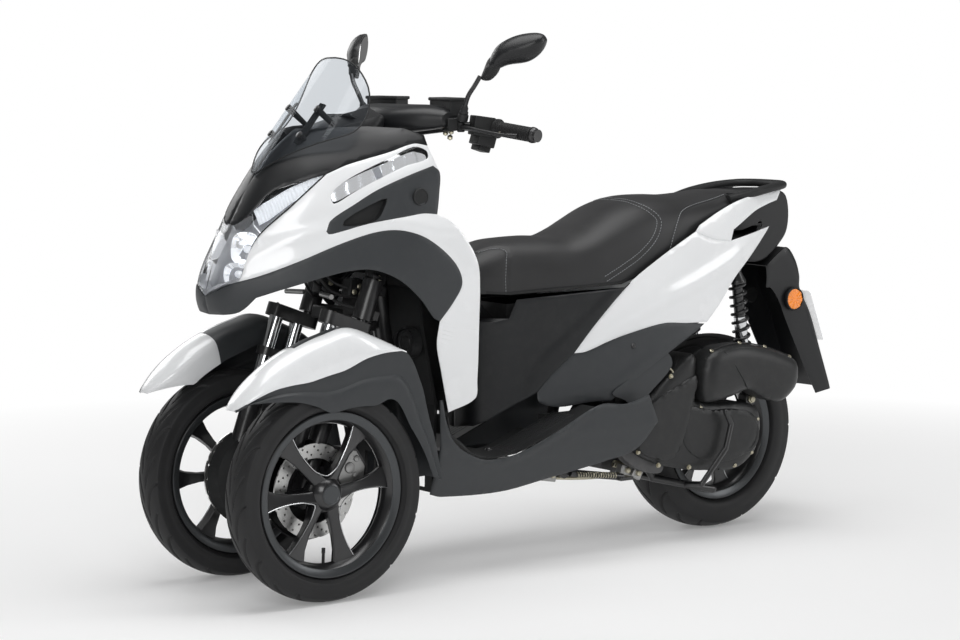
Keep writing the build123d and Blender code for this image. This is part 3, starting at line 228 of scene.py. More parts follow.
# radii of crown, rim seat and bore; half widths of tyre and rim lip; valve's place round the rim, degrees
FRONT_WHEEL = dict(crown=250, half=45, seat=178, lip=33, bore=10.5, sipes=44, valve=-88)
WHEELS = {
    "left": dict(FRONT_WHEEL, axle=(740, 192.5, 250), out=1),
    "right": dict(FRONT_WHEEL, axle=(740, -192.5, 250), out=-1),
    "rear": dict(crown=256, half=65, seat=165, lip=50, bore=12.5, sipes=40, valve=-40, axle=(-610, 0, 256),
                 out=1),
}
SIPE_DEPTH, SIPE_HALF_WIDTH = 4.5, 3.0
TYRE_STEPS = 900
for place, wheel in WHEELS.items():
    half, seat, crown, lip = wheel["half"], wheel["seat"], wheel["crown"], wheel["lip"]
    wall = crown - seat
    side = [(lip - 5, seat + 2), (lip - 5, seat + 15), (lip - 1, seat + 17),
            (lip + 0.6 * (half - lip), seat + 22), (half - 1, seat + 0.34 * wall), (half, seat + 0.46 * wall),
            (half - 1.5, seat + 0.58 * wall)]
    arch = [(half * math.cos(a) * 0.98, crown - 0.36 * half * (1 - math.sin(a)) ** 0.9)
            for a in np.radians(np.linspace(16, 90, 8))]
    profile = curve(side + arch, 4)
    profile = np.vstack([profile, profile[-2::-1] * (-1, 1)])
    run = run_along(profile)
    across = run - run[-1] / 2                       # distance from the crown's middle, mm
    shoulder = 0.98 * half
    turn = 2 * np.pi * np.arange(TYRE_STEPS) / TYRE_STEPS
    depth = np.zeros((TYRE_STEPS, len(profile)))
    for k in range(wheel["sipes"]):
        hand = 1 if k % 2 else -1
        reach = 1.0 if k % 4 < 2 else 0.72
        share = np.clip(across * hand / shoulder, 0, 1.25)
        sweep = 2 * np.pi * k / wheel["sipes"] - 0.40 * (1 - np.clip(share, 0, 1)) ** 2
        slope = np.hypot(1, 0.8 * (1 - np.clip(share, 0, 1)) * crown / shoulder)
        gap = (turn[:, None] - sweep[None, :] + np.pi) % (2 * np.pi) - np.pi
        gap = np.abs(gap) * crown / slope[None, :]
        ends = np.clip((share - 0.1) / 0.06, 0, 1) * np.clip((reach + 0.06 - share) / 0.08, 0, 1)
        cut = np.clip(1.35 - gap / SIPE_HALF_WIDTH, 0, 1)
        depth = np.maximum(depth, cut * ends[None, :] * (across * hand > 0))
    points, faces = lathe(profile, wheel["axle"], TYRE_STEPS, -SIPE_DEPTH * depth)
    make(f"{place}_tyre_moulding", points, faces, rubber, f"{place}_wheel", [f"{place}_tyre"], sharp=50,
         weld=0)

# ---------------------------------------------------------------- wheels
# Cast alloy rims in satin black with a machined grey lip: six blades in three pairs, a bright line
# round each notch between them, a hub cap, and a valve stem. One hub turns on each axle.
alloy_black = solid_finish("cast_alloy_black", (0.01, 0.01, 0.011), 0.3, 1.2, 0.03, Coat_Weight=0.5,
                           Coat_Roughness=0.16)
machined, here = new_finish("machined_lip")
turned = here.noise(1.2, 4.0)
machined = close_finish(machined, here, turned.mix((0.05, 0.053, 0.056, 1), (0.085, 0.09, 0.094, 1)),
                        turned * 0.14 + 0.24, turned, 0.02, Metallic=0.6)
bright_edge = solid_finish("bright_machined_edge", (0.62, 0.63, 0.64), 0.26, 0.8, 0.01, Metallic=1.0)


def tube(name, points, radius, material, body, sides=10, closed=False, smooth=6):
    """Round bar or pipe along points, with closed ends."""
    path = curve(points, smooth, closed) if smooth else np.asarray(points, float)
    count = len(path)
    rings, normal = [], None
    for i, spot in enumerate(path):
        ahead = path[(i + 1) % count] if closed or i + 1 < count else spot
        behind = path[i - 1] if closed or i else spot
        run = Vector(ahead - behind).normalized()
        if normal is None:
            normal = run.orthogonal().normalized()
        normal = (normal - run * normal.dot(run)).normalized()
        other = run.cross(normal)
        size = radius[i * len(radius) // count] if isinstance(radius, (list, tuple)) else radius
        rings.append([Vector(spot) + (normal * math.cos(a) + other * math.sin(a)) * size
                      for a in (2 * math.pi * k / sides for k in range(sides))])
    return make(name, *loft(rings + rings[:1] * closed, not closed), material, body)


def loft(sections, closed_ends=True):
    """Skin through rings of equal count."""
    rings, size = len(sections), len(sections[0])
    points = [p for ring in sections for p in ring]
    faces = [(i * size + k, i * size + m, (i + 1) * size + m, (i + 1) * size + k)
             for i in range(rings - 1) for k, m in zip(range(size), (*range(1, size), 0))]
    if closed_ends:
        faces += [tuple(range(size)), tuple(range((rings - 1) * size, rings * size))]
    return points, faces


def blunt(value, power):
    """A value from -1 to 1 raised to a power with its sign kept, for squared-off rounds."""
    return math.copysign(abs(value) ** power, value)


def gather(*meshes):
    """Several (points, faces) as one."""
    points, faces = [], []
    for more_points, more_faces in meshes:
        start = len(points)
        points += list(more_points)
        faces += [tuple(i + start for i in face) for face in more_faces]
    return points, faces


def soften(piece, width, segments=2, angle=30):
    """Small radius on a piece's hard edges."""
    edge = piece.modifiers.new("edge radius", "BEVEL")
    edge.width, edge.segments = width * MM, segments
    edge.limit_method, edge.angle_limit = "ANGLE", math.radians(angle)


NOTCHES = ((132, 57), (7, -72), (-122, 182))         # paired blades, degrees up from the rear


def on_blade(wheel, turn, mate, r, toward, face):
    """A point r out along a blade, toward its mate by that much, and that far outside the wheel's middle."""
    x, y, z = wheel["axle"]
    a = math.radians(turn)
    toward *= 1 if (mate - turn) % 360 < 180 else -1
    return Vector((x - r * math.cos(a) + toward * math.sin(a), y + wheel["out"] * face,
                   z + r * math.sin(a) + toward * math.cos(a)))


for place, wheel in WHEELS.items():
    x, y, z = wheel["axle"]
    seat, lip, out = wheel["seat"], wheel["lip"], wheel["out"]
    body = f"{place}_wheel"
    barrel = curve([(lip, seat + 13), (lip + 1, seat + 11), (lip + 1, seat + 11), (lip - 2, seat + 6),
                    (lip - 5, seat + 1), (lip - 5, seat + 1), (lip - 12, seat - 6), (lip - 24, seat - 14),
                    (0, seat - 17)], 3)
    barrel = [tuple(p) for p in barrel] + [(-a, r) for a, r in barrel[-2::-1]]
    back = [(a * 0.9, r + 5) if abs(a) < lip - 12 else (a * 0.86, r + 3) for a, r in barrel[::-1]]
    make(f"{place}_rim_barrel", *lathe(barrel + back + barrel[:1], wheel["axle"], 144), alloy_black, body)
    face_lip = [(lip + 1.2, seat + 12.6), (lip + 1.9, seat + 11.4), (lip + 1.6, seat + 9),
                (lip - 1.6, seat - 3), (lip - 4, seat - 6.5), (lip - 6, seat - 6), (lip - 3, seat),
                (lip, seat + 12.6), (lip + 1.2, seat + 12.6)]
    for hand in (1, -1):
        make(f"{place}_rim_lip_{'outer' if hand == out else 'inner'}",
             *lathe(face_lip, wheel["axle"], 144, hand=hand), machined, body)
    blades = []
    for turn, mate in NOTCHES + tuple(pair[::-1] for pair in NOTCHES):
        sections = []
        for r, toward, away, face, rear in ((20, 22, 12, 20, -14), (46, 17, 11, 18, -14),
                                            (72, 12, 11, 15, -12), (105, 12, 13, 13, -11),
                                            (138, 16, 20, 13, -12), (seat - 12, 24, 33, 14, -14),
                                            (seat - 4, 26, 38, 14, -16)):
            ring = [(toward, face - 3), (toward - 3, face), (-away * 0.2, face - 3), (2 - away, face - 7),
                    (-away, face - 10), (-away * 0.8, rear), (toward * 0.8, rear)]
            sections.append([on_blade(wheel, turn, mate, r, *spot) for spot in ring])
        blades.append(loft(sections))
    hub = [(-27, 14), (-27, 34), (-20, 40), (-8, 42), (8, 42), (16, 38), (24, 31), (27, 27), (29, 24),
           (29, 0.1)]
    blades.append(lathe(hub + [(19, 0.1), (19, wheel["bore"])] + hub[:1], wheel["axle"], 72, hand=out))
    soften(make(f"{place}_rim_blades", *gather(*blades), alloy_black, body, [f"{place}_rim"], sharp=30), 1.6,
           2, 28)
    for first, second in NOTCHES:
        middle = math.radians(first + ((second - first + 180) % 360 - 180) / 2)
        edge = []
        for turn, mate, radii in ((first, second, (seat - 9, 138, 105, 72, 58)),
                                  (second, first, (58, 72, 105, 138, seat - 9))):
            edge += [on_blade(wheel, turn, mate, r,
                              np.interp(r, (46, 72, 105, 138, seat - 12), (17, 12, 12, 16, 24)) - 1.2,
                              np.interp(r, (46, 72, 105, 138), (18, 15, 13, 13)) + 0.3) for r in radii]
            if turn == first:
                edge.append(Vector((x - 44 * math.cos(middle), y + out * 19, z + 44 * math.sin(middle))))
        tube(f"{place}_notch_edge_{abs(first)}", edge, 1.2, bright_edge, body, 6, smooth=5)
    cap = [(26, 24), (30.5, 23.5), (31.5, 22), (31.5, 20), (30.6, 19), (30.8, 0.1), (26, 0.1), (26, 24)]
    make(f"{place}_hub_cap", *lathe(cap, wheel["axle"], 64, hand=out), machined if out == 1 else alloy_black,
         body)
    turn = math.radians(wheel["valve"])
    for part, drops, radius in (("stem", (12, 24, 25, 40), 3.6), ("cap", (40, 52), 4.4)):
        line = [(x + (seat - drop) * math.cos(turn), y + 2 * out, z + (seat - drop) * math.sin(turn))
                for drop in drops]
        tube(f"{place}_valve_{part}", line, radius, rubber, body, 10, smooth=0)

# ---------------------------------------------------------------- brake discs
# Ground steel rings with drilled friction faces on black carriers, one inside each front wheel and
# one at the rear.
disc_steel, here = new_finish("ground_disc_steel")
swirl = here.noise(3, 2.0, 0.6)
disc_steel = close_finish(disc_steel, here, swirl.mix((0.5, 0.5, 0.49, 1), (0.66, 0.66, 0.65, 1)),
                          swirl * 0.15 + 0.24, swirl, 0.02, Metallic=0.9)


def inside(points, outline):
    """Which points lie in a closed outline."""
    x, y = points[:, 0], points[:, 1]
    found = np.zeros(len(points), bool)
    for (xa, ya), (xb, yb) in zip(outline, np.roll(outline, -1, 0)):
        crosses = (ya > y) != (yb > y)
        with np.errstate(divide="ignore", invalid="ignore"):
            found ^= crosses & (x < (xb - xa) * (y - ya) / (yb - ya) + xa)
    return found


def to_edges(points, starts, ends):
    """Distance from each point to the nearest of the edges."""
    run, gap = ends - starts, points[:, None] - starts
    share = np.clip(np.einsum("ijk,jk->ij", gap, run) / (np.sum(run**2, 1) + 1e-9), 0, 1)
    return np.linalg.norm(gap - share[..., None] * run, axis=2).min(1)


def fill(outline, holes=(), step=None, rim=None):
    """Triangles that fill a flat outline round its holes, with points step apart inside it."""
    loops = [np.asarray(outline, float)] + [np.asarray(hole, float) for hole in holes]
    places = np.vstack(loops)
    edges, start = [], 0
    for loop in loops:
        edges += [(start + i, start + (i + 1) % len(loop)) for i in range(len(loop))]
        start += len(loop)
    extra = []
    if rim:
        ring = loops[0]
        ahead = np.roll(ring, -1, 0) - np.roll(ring, 1, 0)
        normal = np.stack([-ahead[:, 1], ahead[:, 0]], 1) / (np.linalg.norm(ahead, axis=1)[:, None] + 1e-9)
        area = np.sum(ring[:, 0] * np.roll(ring[:, 1], -1) - ring[:, 1] * np.roll(ring[:, 0], -1))
        extra.append(ring + normal * rim * np.sign(area))
    if step:
        low, high = places.min(0), places.max(0)
        grid = np.stack(np.meshgrid(np.arange(low[0], high[0], step), np.arange(low[1], high[1], step)), -1)
        grid[1::2, :, 0] += step / 2
        extra.append(grid.reshape(-1, 2))
    if extra:
        extra = np.vstack(extra)
        keep = inside(extra, loops[0])
        for hole in loops[1:]:
            keep &= ~inside(extra, hole)
        extra = extra[keep]
        away = to_edges(extra, places[[a for a, b in edges]], places[[b for a, b in edges]])
        extra = extra[away > (0.8 * rim if rim else 0.35 * step)]
        places = np.vstack([places, extra])
    made = delaunay_2d_cdt([Vector(p) for p in places], edges, [], 0, 1e-5)
    found = np.array([tuple(p) for p in made[0]])
    faces = np.array([face for face in made[2] if len(face) == 3])
    middle = found[faces].mean(1)
    keep = inside(middle, loops[0])
    for hole in loops[1:]:
        keep &= ~inside(middle, hole)
    return found, faces[keep]


def open_edges(faces):
    """Edges that only one face uses, in its direction."""
    used = {}
    for face in faces:
        for a, b in zip(face, (*face[1:], face[0])):
            used[(a, b)] = True
    return [(a, b) for a, b in used if (b, a) not in used]


def sheet(outer, inner, faces, rim=None):
    """A body between two sets of points with the same faces, closed round its rim."""
    faces, count = [tuple(face) for face in faces], len(outer)
    back = [tuple(i + count for i in face[::-1]) for face in faces]
    edges = [(b, a, a + count, b + count) for a, b in (open_edges(faces) if rim is None else rim)]
    return [tuple(p) for p in (*outer, *inner)], faces + back + edges


def plate(outline, holes, to_space, thick, step=None):
    """Flat sheet: to_space(a, b, depth) gives each corner's place."""
    found, faces = fill(outline, holes, step)
    return sheet([to_space(a, b, 0) for a, b in found], [to_space(a, b, thick) for a, b in found], faces)


def circle(cx, cy, radius, steps):
    return [(cx + radius * math.cos(a), cy + radius * math.sin(a))
            for a in (2 * math.pi * k / steps for k in range(steps))]


def upright(middle, hand=1):
    """Puts a flat outline of (x, z) that far out on one side, its depth going outward."""
    return lambda a, b, depth: (a, hand * (middle + depth), b)


SPOKE_TURN = 1.2566                                  # a fifth of a turn
DISC_Y = 148.5                                       # the front discs' distance from the middle plane
DISCS = {"left": (740, DISC_Y, 250, 110, 1), "right": (740, -DISC_Y, 250, 110, -1),
         "rear": (-610, -74, 256, 115, 1)}
for place, (x, y, z, radius, hand) in DISCS.items():
    drilled = []
    for k in range(20):
        for r, late in ((radius - 7, 0), (radius - 16, 0.35), (radius - 25, 0.7)):
            a = 2 * math.pi * (k + late) / 20
            drilled.append(circle(r * math.cos(a), r * math.sin(a), 2.7, 8))
    wavy = [(r * math.cos(a), r * math.sin(a)) for a, r in
            ((math.pi * k / 90, radius - 1.5 * (k % 12 < 2)) for k in range(180))]
    face = plate(wavy, drilled + [circle(0, 0, radius - 34, 96)],
                 lambda a, b, d: (x + a, y + hand * d, z + b), 4.2)
    make(f"{place}_disc_face", *face, disc_steel, f"{place}_wheel", [f"{place}_disc"], sharp=30)
    arm = [(24, -11), (24, 11), (radius - 40, 5), (radius - 28, 6), (radius - 28, -6), (radius - 40, -5)]
    spokes = []
    for k in range(5):
        c, s = math.cos(k * SPOKE_TURN), math.sin(k * SPOKE_TURN)

        def on_arm(a, b, depth):
            return x + a * c - b * s, y + hand * (depth - 0.6), z + a * s + b * c

        spokes.append(plate(arm, [], on_arm, 5))
    bore = WHEELS[place]["bore"]
    spokes.append(lathe([(-0.6, bore), (-0.6, 30), (6, 30), (17, 26), (17, bore), (-0.6, bore)], (x, y, z),
                        40, hand=hand))
    make(f"{place}_disc_carrier", *gather(*spokes), alloy_black, f"{place}_wheel", sharp=30)

# ---------------------------------------------------------------- front body
# Painted and grained shells over one smooth hull: white nose sides and aprons, dark grey arch and
# cheek panels, a black cowl. Edges are rolled in, so the panels meet in narrow dark seams.
white_paint = solid_finish("gloss_white_paint", (0.80, 0.81, 0.82), 0.26, 0.5, 0.004, patch=0.02,
                           Coat_Weight=0.7, Coat_Roughness=0.06)
grey_plastic = solid_finish("satin_dark_grey", (0.034, 0.037, 0.04), 0.46, 0.5, 0.03, patch=0.1, dust=0.02,
                            Specular_IOR_Level=0.4)
cowl_black = solid_finish("satin_black_cowl", (0.008, 0.0085, 0.0095), 0.38, 0.5, 0.02, patch=0.12,
                          Specular_IOR_Level=0.42)
grained_black = solid_finish("grained_black_plastic", (0.011, 0.0115, 0.012), 0.56, 0.7, 0.09, patch=0.15,
                             dust=0.02, Specular_IOR_Level=0.35)
FRONT_LEVELS = {
    400: [(480, 0), (478, 40), (474, 80), (468, 120), (460, 150), (450, 172), (440, 186), (428, 196),
          (300, 204)],
    560: [(560, 0), (556, 45), (550, 84), (545, 140), (540, 175), (530, 196), (490, 212), (430, 218),
          (300, 222)],
    640: [(916, 0), (908, 50), (882, 86), (800, 146), (700, 183), (600, 206), (500, 222), (430, 227),
          (300, 230)],
    700: [(937, 0), (928, 52), (896, 87), (800, 149), (700, 187), (600, 210), (500, 226), (430, 231),
          (300, 236)],
    860: [(869, 0), (862, 45), (838, 80), (780, 128), (690, 167), (600, 192), (500, 212), (430, 217),
          (300, 226)],
    975: [(796, 0), (788, 42), (760, 80), (720, 118), (660, 150), (590, 170), (500, 182), (430, 186),
          (300, 192)],
    1045: [(738, 0), (728, 40), (700, 72), (660, 100), (600, 128), (540, 144), (480, 152), (430, 154),
           (300, 156)],
    1090: [(690, 0), (682, 34), (655, 60), (620, 82), (570, 102), (520, 114), (470, 120), (430, 122),
           (300, 122)],
}


class Hull:
    """Smooth skin of one side through plan outlines (x, half width) at several heights."""

    def __init__(self, levels):
        self.heights = np.array(sorted(levels), float)
        self.rows = np.array([levels[z] for z in sorted(levels)], float)
        gap = np.diff(self.heights)[:, None, None]
        rise = np.diff(self.rows, axis=0) / gap
        self.slopes = np.zeros_like(self.rows)
        both = (rise[:-1] * rise[1:]) > 0
        weight = 1 / (rise[:-1] + (rise[:-1] == 0)) + 1 / (rise[1:] + (rise[1:] == 0))
        self.slopes[1:-1] = np.where(both, 2 / (weight + (weight == 0)), 0)
        self.slopes[0], self.slopes[-1] = rise[0], rise[-1]
        self.known = {}

    def ring(self, z):
        """The outline at a height: places and distance run round it from the middle."""
        key = round(float(z), 2)
        if key not in self.known:
            z = min(max(key, self.heights[0]), self.heights[-1])
            k = min(int(np.searchsorted(self.heights, z, "right")) - 1, len(self.heights) - 2)
            span = self.heights[k + 1] - self.heights[k]
            t = (z - self.heights[k]) / span
            row = blend(t, self.rows[k], span * self.slopes[k], self.rows[k + 1], span * self.slopes[k + 1])
            other_side = row[2:0:-1] * (1, -1)
            path = curve(np.vstack([other_side, row]), 10)[20:]
            path[0, 1] = 0
            run = run_along(path)
            self.known[key] = path, run
        return self.known[key]

    def at(self, run, z):
        path, along = self.ring(z)
        return (np.interp(run, along, path[:, 0]), np.interp(run, along, path[:, 1]), z)

    def run_to(self, x, z):
        path, along = self.ring(z)
        return np.interp(-x, -path[:, 0], along)

    def spot(self, x, z):
        """The place on the skin at x and a height."""
        return self.at(self.run_to(x, z), z)


def skin(hull, outline, thick=3.0, step=11, holes=(), lift=0.0, roll=1.3, shape=None):
    """A moulded panel: the part of a hull inside a side-view outline, its edge rolled in."""
    def unroll(loop):
        flat = np.array([(hull.run_to(x, z), z) for x, z in loop])
        keep = np.linalg.norm(flat - np.roll(flat, 1, 0), axis=1) > 0.3
        return flat[keep]
    loops = [unroll(outline)] + [unroll(hole) for hole in holes]
    found, faces = fill(loops[0], loops[1:], step, rim=3.0)
    faces = [tuple(face) for face in faces]
    space = np.array([hull.at(a, z) for a, z in found])
    near = np.array([np.subtract(hull.at(a + 0.5, z), hull.at(max(a - 0.5, 0), z)) for a, z in found])
    rise = np.array([np.subtract(hull.at(a, z + 0.5), hull.at(a, z - 0.5)) for a, z in found])
    normal = np.cross(near, rise)
    normal /= np.linalg.norm(normal, axis=1)[:, None] + 1e-9
    centre = space[:, 1] < 0.05
    normal[centre, 1] = 0
    rim = [(a, b) for a, b in open_edges(faces) if not (centre[a] and centre[b])]
    border = sorted({i for edge in rim for i in edge})
    height = np.full(len(found), float(lift))
    if shape is not None:
        height += np.array([shape(x, z) for x, y, z in space])
    height[border] -= roll
    outer = space + normal * height[:, None]
    inner = space + normal * (lift - thick)
    outer[centre, 1] = inner[centre, 1] = 0
    points, faces = sheet(outer, inner, faces, rim)
    return gather((points, faces), ([(x, -y, z) for x, y, z in points], [face[::-1] for face in faces]))


def joined(*runs):
    """Seams laid end to end as one closed outline."""
    found = []
    for run in runs:
        for p in run:
            if not found or math.dist(found[-1], p) > 0.5:
                found.append((float(p[0]), float(p[1])))
    if math.dist(found[0], found[-1]) < 0.5:
        found.pop()
    return found


front_hull = Hull(FRONT_LEVELS)
LAMP_CORNER, LAMP_TOP, SHOULDER = (896, 736), (690, 976), (421, 1036)
lamp_side = curve([LAMP_CORNER, (852, 826), (770, 907), LAMP_TOP], 6)
cowl_front = curve([(869, 859), (846, 885), (790, 941), LAMP_TOP], 6)
cowl_side = curve([LAMP_TOP, (638, 997), (526, 1024), (458, 1041), SHOULDER], 6)
arch_top = curve([LAMP_CORNER, (861, 747), (777, 780), (674, 820), (588, 843), (525, 843), (460, 820),
                  (395, 766), (374, 718), (395, 676), (434, 628)], 6)
arch_low = curve([(434, 628), (451, 637), (492, 686), (545, 731), (607, 756), (662, 756), (714, 746),
                  (810, 719), (866, 699)], 6)
chin_low = curve([(866, 699), (895, 666), (926.5, 656)], 4)
apron_back = curve([(432, 878), (395, 858), (348, 803), (327, 755), (324, 696), (320, 601), (315, 480),
                    (317, 436), (391, 408)], 6)
apron_front = curve([(391, 408), (420, 507), (438, 573), (434, 628)], 6)
cheek = [*curve([(710, 846), (697, 871), (640, 906), (580, 938), (500, 967), (420, 990)], 5),
         *curve([(420, 990), (405, 974), (418, 925), (432, 878)], 5),
         *curve([(432, 878), (470, 881), (509, 876), (612, 861), (685, 843), (704, 840), (710, 846)], 5)]
indicator = curve([(690, 924), (685, 909), (640, 932), (593, 954), (499, 990), (432, 1006), (428, 1024),
                   (460, 1034), (530, 1011), (619, 977), (672, 947)], 5, closed=True)


def strake(x, z):
    """The soft crease that runs along the nose side and over the arch."""
    line = np.interp(x, (430, 520, 600, 700, 800, 880), (842, 866, 868, 856, 826, 782))
    return 3.2 * math.exp(-((z - line) / 13) ** 2) - 1.6 * math.exp(-((z - line - 26) / 16) ** 2)


side = joined(lamp_side, cowl_side, [SHOULDER, (405, 974)], cheek[30:36], apron_back, apron_front,
              arch_top[::-1])
white_sides = skin(front_hull, side, holes=[indicator, cheek[::-1]], step=10, shape=strake)
make("nose_side_paint", *white_sides, white_paint, "body", ["front_side_panels"])
arch = joined(arch_top, arch_low, chin_low, [(937, 700)], [(905, 733), LAMP_CORNER])
make("arch_moulding", *skin(front_hull, arch, 4.5, 10, roll=1.6), grey_plastic, "body", ["arch_panels"])
DUCT = [(668, 858), (664, 871), (610, 900), (560, 918), (566, 900), (592, 868)]
duct = curve(DUCT, 4, closed=True)
cheek_skin = skin(front_hull, joined(cheek), 4, 9, [duct], lift=-1.5)
make("cheek_moulding", *cheek_skin, grey_plastic, "body", ["cheek_panels"])
duct_floor = skin(front_hull, joined(duct), 2, 12, lift=-14, roll=0)
make("cheek_duct_floor", *duct_floor, grained_black, "body")
mouth = [front_hull.spot(x, z) for x, z in duct]
duct_wall = [loft([[(x, hand * (y - depth), z) for x, y, z in mouth] for depth in (2, 9, 17)], False)
             for hand in (1, -1)]
make("cheek_duct_wall", *gather(*duct_wall), grained_black, "body")
BADGE_X, BADGE_Z, BADGE_R = 473, 918, 21
x, y, z = front_hull.spot(BADGE_X, BADGE_Z)
profile = [(-3, 0.1), (2.4, 0.1), (2.4, BADGE_R - 4), (3.4, BADGE_R - 3), (3.4, BADGE_R - 1.2),
           (2.2, BADGE_R), (-3, BADGE_R)]
badge = [lathe(profile, (x, hand * y, z), 48, hand=hand) for hand in (1, -1)]
make("cheek_roundel_blank", *gather(*badge), grained_black, "body")

cowl = joined(cowl_front, cowl_side,
              [(421, 1036), (421, 1060), (470, 1076), (560, 1082), (640, 1080), (700, 1078)],
              [(770, 1020), (840, 940), (880, 862)])
make("upper_cowl", *skin(front_hull, cowl, 4, 10, lift=1.2, roll=1.8), cowl_black, "body", ["nose_cover"])

# ---------------------------------------------------------------- headlamps
# Clear one-piece lens over a grey housing: two stacked reflectors each side, a bright bracket, and a ribbed
# position-lamp strip that runs back up the nose. Reflectors and bracket are chrome with a faint painted glow
# added.
clear_lens = solid_finish("clear_lens", (0.97, 0.98, 1.0), 0.08, 3.0, 0.0, patch=0.0, Transmission_Weight=1.0,
                          IOR=1.3)
# The reflector chrome also glows faintly. This is painted light that stands in for bright reflections, on the
# reflectors, the bracket and the indicator reflector.
chrome = solid_finish("reflector_chrome_painted_glow", (0.88, 0.89, 0.9), 0.16, 2.0, 0.01, patch=0.03, Metallic=1.0,
                      Emission_Color=(1.0, 1.0, 1.0, 1.0), Emission_Strength=0.34)
lamp_grey = solid_finish("lamp_housing_grey", (0.4, 0.41, 0.43), 0.3, 0.6, 0.02)
frosted = solid_finish("frosted_light_guide", (0.85, 0.87, 0.9), 0.35, 1.0, 0.05, patch=0.05,
                       Emission_Color=(0.94, 0.97, 1.0, 1.0), Emission_Strength=0.3)
lens = joined(lamp_side, cowl_front[::-1], [(880, 862)], [(915, 780), (937, 700), (905, 733), LAMP_CORNER])
make("headlamp_glass", *skin(front_hull, lens, 2.2, 12, lift=-1.0, roll=0.8), clear_lens, "body",
     ["headlamp_lenses"])
lamp_floor = [(937, 700), (905, 733), LAMP_CORNER, (892, 745), (903, 743), (937, 713)]
make("lamp_back_plate", *gather(skin(front_hull, lens, 2.5, 14, lift=-30, roll=0),
                                skin(front_hull, lamp_floor, 30, 14, lift=-3, roll=0)), lamp_grey, "body",
     ["lamp_housing"])
lens_edge = skin(front_hull, joined(lamp_side, [(x - 3, z + 6) for x, z in lamp_side[::-1]]), 8, 20, lift=0.4,
                 roll=0.6)
make("lens_border", *lens_edge, grained_black, "body")
LAMP_STEPS = 40
lamp_parts = []
for hand in (1, -1):
    for (cx, cy, cz), wide, high in (((862, 62, 808), 34, 37), ((884, 58, 750), 30, 26)):
        out = Vector((0.80, 0.52 * hand, 0.18)).normalized()
        across = out.cross(Vector((0, 0, 1))).normalized()
        up = across.cross(out)
        rings = []
        for share, depth in ((1.0, 8), (0.94, 5), (0.8, -4), (0.6, -12), (0.4, -17), (0.2, -20), (0.02, -21)):
            ring = []
            for k in range(LAMP_STEPS):
                a = 2 * math.pi * k / LAMP_STEPS
                facet = 1 + (0.035 if k % 5 else -0.02) * (share < 0.95)
                ca, sa = math.cos(a), math.sin(a)
                box = 1 / max(abs(ca) ** 3 + abs(sa) ** 3, 1e-6) ** (1 / 3)
                ring.append(Vector((cx, hand * cy, cz)) + across * (ca * box * wide * share * facet)
                            + up * (sa * box * high * share * facet) + out * depth)
            rings.append(ring)
        lamp_parts.append(loft(rings, False))
make("headlamp_reflectors", *gather(*lamp_parts), chrome, "body", sharp=20)
STRIP_RIBS = 46
bulbs, ribs = [], []
for hand in (1, -1):
    for cx, cy, cz in ((856, 60, 806), (878, 56, 750)):
        bulbs.append(lathe([(-6, 0.1), (-6, 8), (4, 8), (9, 5), (11, 0.1)], (cx, hand * cy, cz), 20,
                           hand=hand))
    strip = []
    for k in range(STRIP_RIBS):
        t = k / (STRIP_RIBS - 1)
        x, z = np.interp(t, (0, 0.5, 1), (838, 775, 690)), np.interp(t, (0, 0.5, 1), (876, 924, 974))
        tall = np.interp(t, (0, 0.15, 0.6, 1), (32, 36, 28, 8))
        ring = []
        for lift, rise in ((-10, -0.5), (-10 + 4 * (k % 2), 0), (-10, 0.5), (-14, 0.5), (-14, -0.5)):
            px, py, pz = front_hull.spot(x, z + rise * tall)
            ring.append((px + lift * 0.55, hand * (py + lift * 0.8), pz))
        strip.append(ring)
    ribs.append(loft(strip))
make("headlamp_bulbs", *gather(*bulbs), frosted, "body")
make("position_lamp_strip", *gather(*ribs), frosted, "body", sharp=20)
brackets = []
for hand in (1, -1):
    line = [(842, 884), (846, 860), (836, 838), (800, 868)]
    for (xa, za), (xb, zb) in zip(line, line[1:]):
        ends = []
        for x, z in ((xa, za), (xb, zb)):
            px, py, pz = front_hull.spot(x, z)
            ends.append([(px - 4 + dx, hand * (py - 8 + dy), pz + dz) for dx, dy, dz in
                         ((0, 1, 2.2), (0, 1, -2.2), (-5, -6, -2.2), (-5, -6, 2.2))])
        brackets.append(loft(ends))
make("lamp_bright_bracket", *gather(*brackets), chrome, "body")

# ---------------------------------------------------------------- front indicators
# Clear lenses let into the white sides, over a ribbed chrome reflector with a faint painted glow, which a
# grey divider cuts in two.
make("indicator_glass", *skin(front_hull, joined(indicator), 2, 10, lift=-0.4, roll=0.8), clear_lens, "body",
     ["front_indicators"])
inset = [(562 + (x - 562) * 0.97, 962 + (z - 962) * 0.88) for x, z in indicator]
make("indicator_tray", *skin(front_hull, joined(inset), 2, 8, lift=-16, roll=0), lamp_grey, "body")
# This reflector's chrome carries the same painted glow.
make("indicator_reflector", *skin(front_hull, joined(inset), 3, 5, lift=-11, roll=0,
                                  shape=lambda x, z: 3 * abs(math.sin(x / 11))), chrome, "body")
divider = [(566, 992), (582, 986), (570.8, 946), (554.8, 952)]
make("indicator_divider", *skin(front_hull, divider, 8, 12, lift=-3, roll=0), lamp_grey, "body")

# ---------------------------------------------------------------- front mudguards
# Injection-moulded guards that turn with the forks: gloss white tops snapped over satin dark grey
# skirts, which carry a raised flap along the side and come down behind the wheel.
def follow(table, places):
    """Smooth values from a table of (place, value)."""
    dense = curve(table, 8)
    return np.interp(places, dense[:, 0], dense[:, 1])


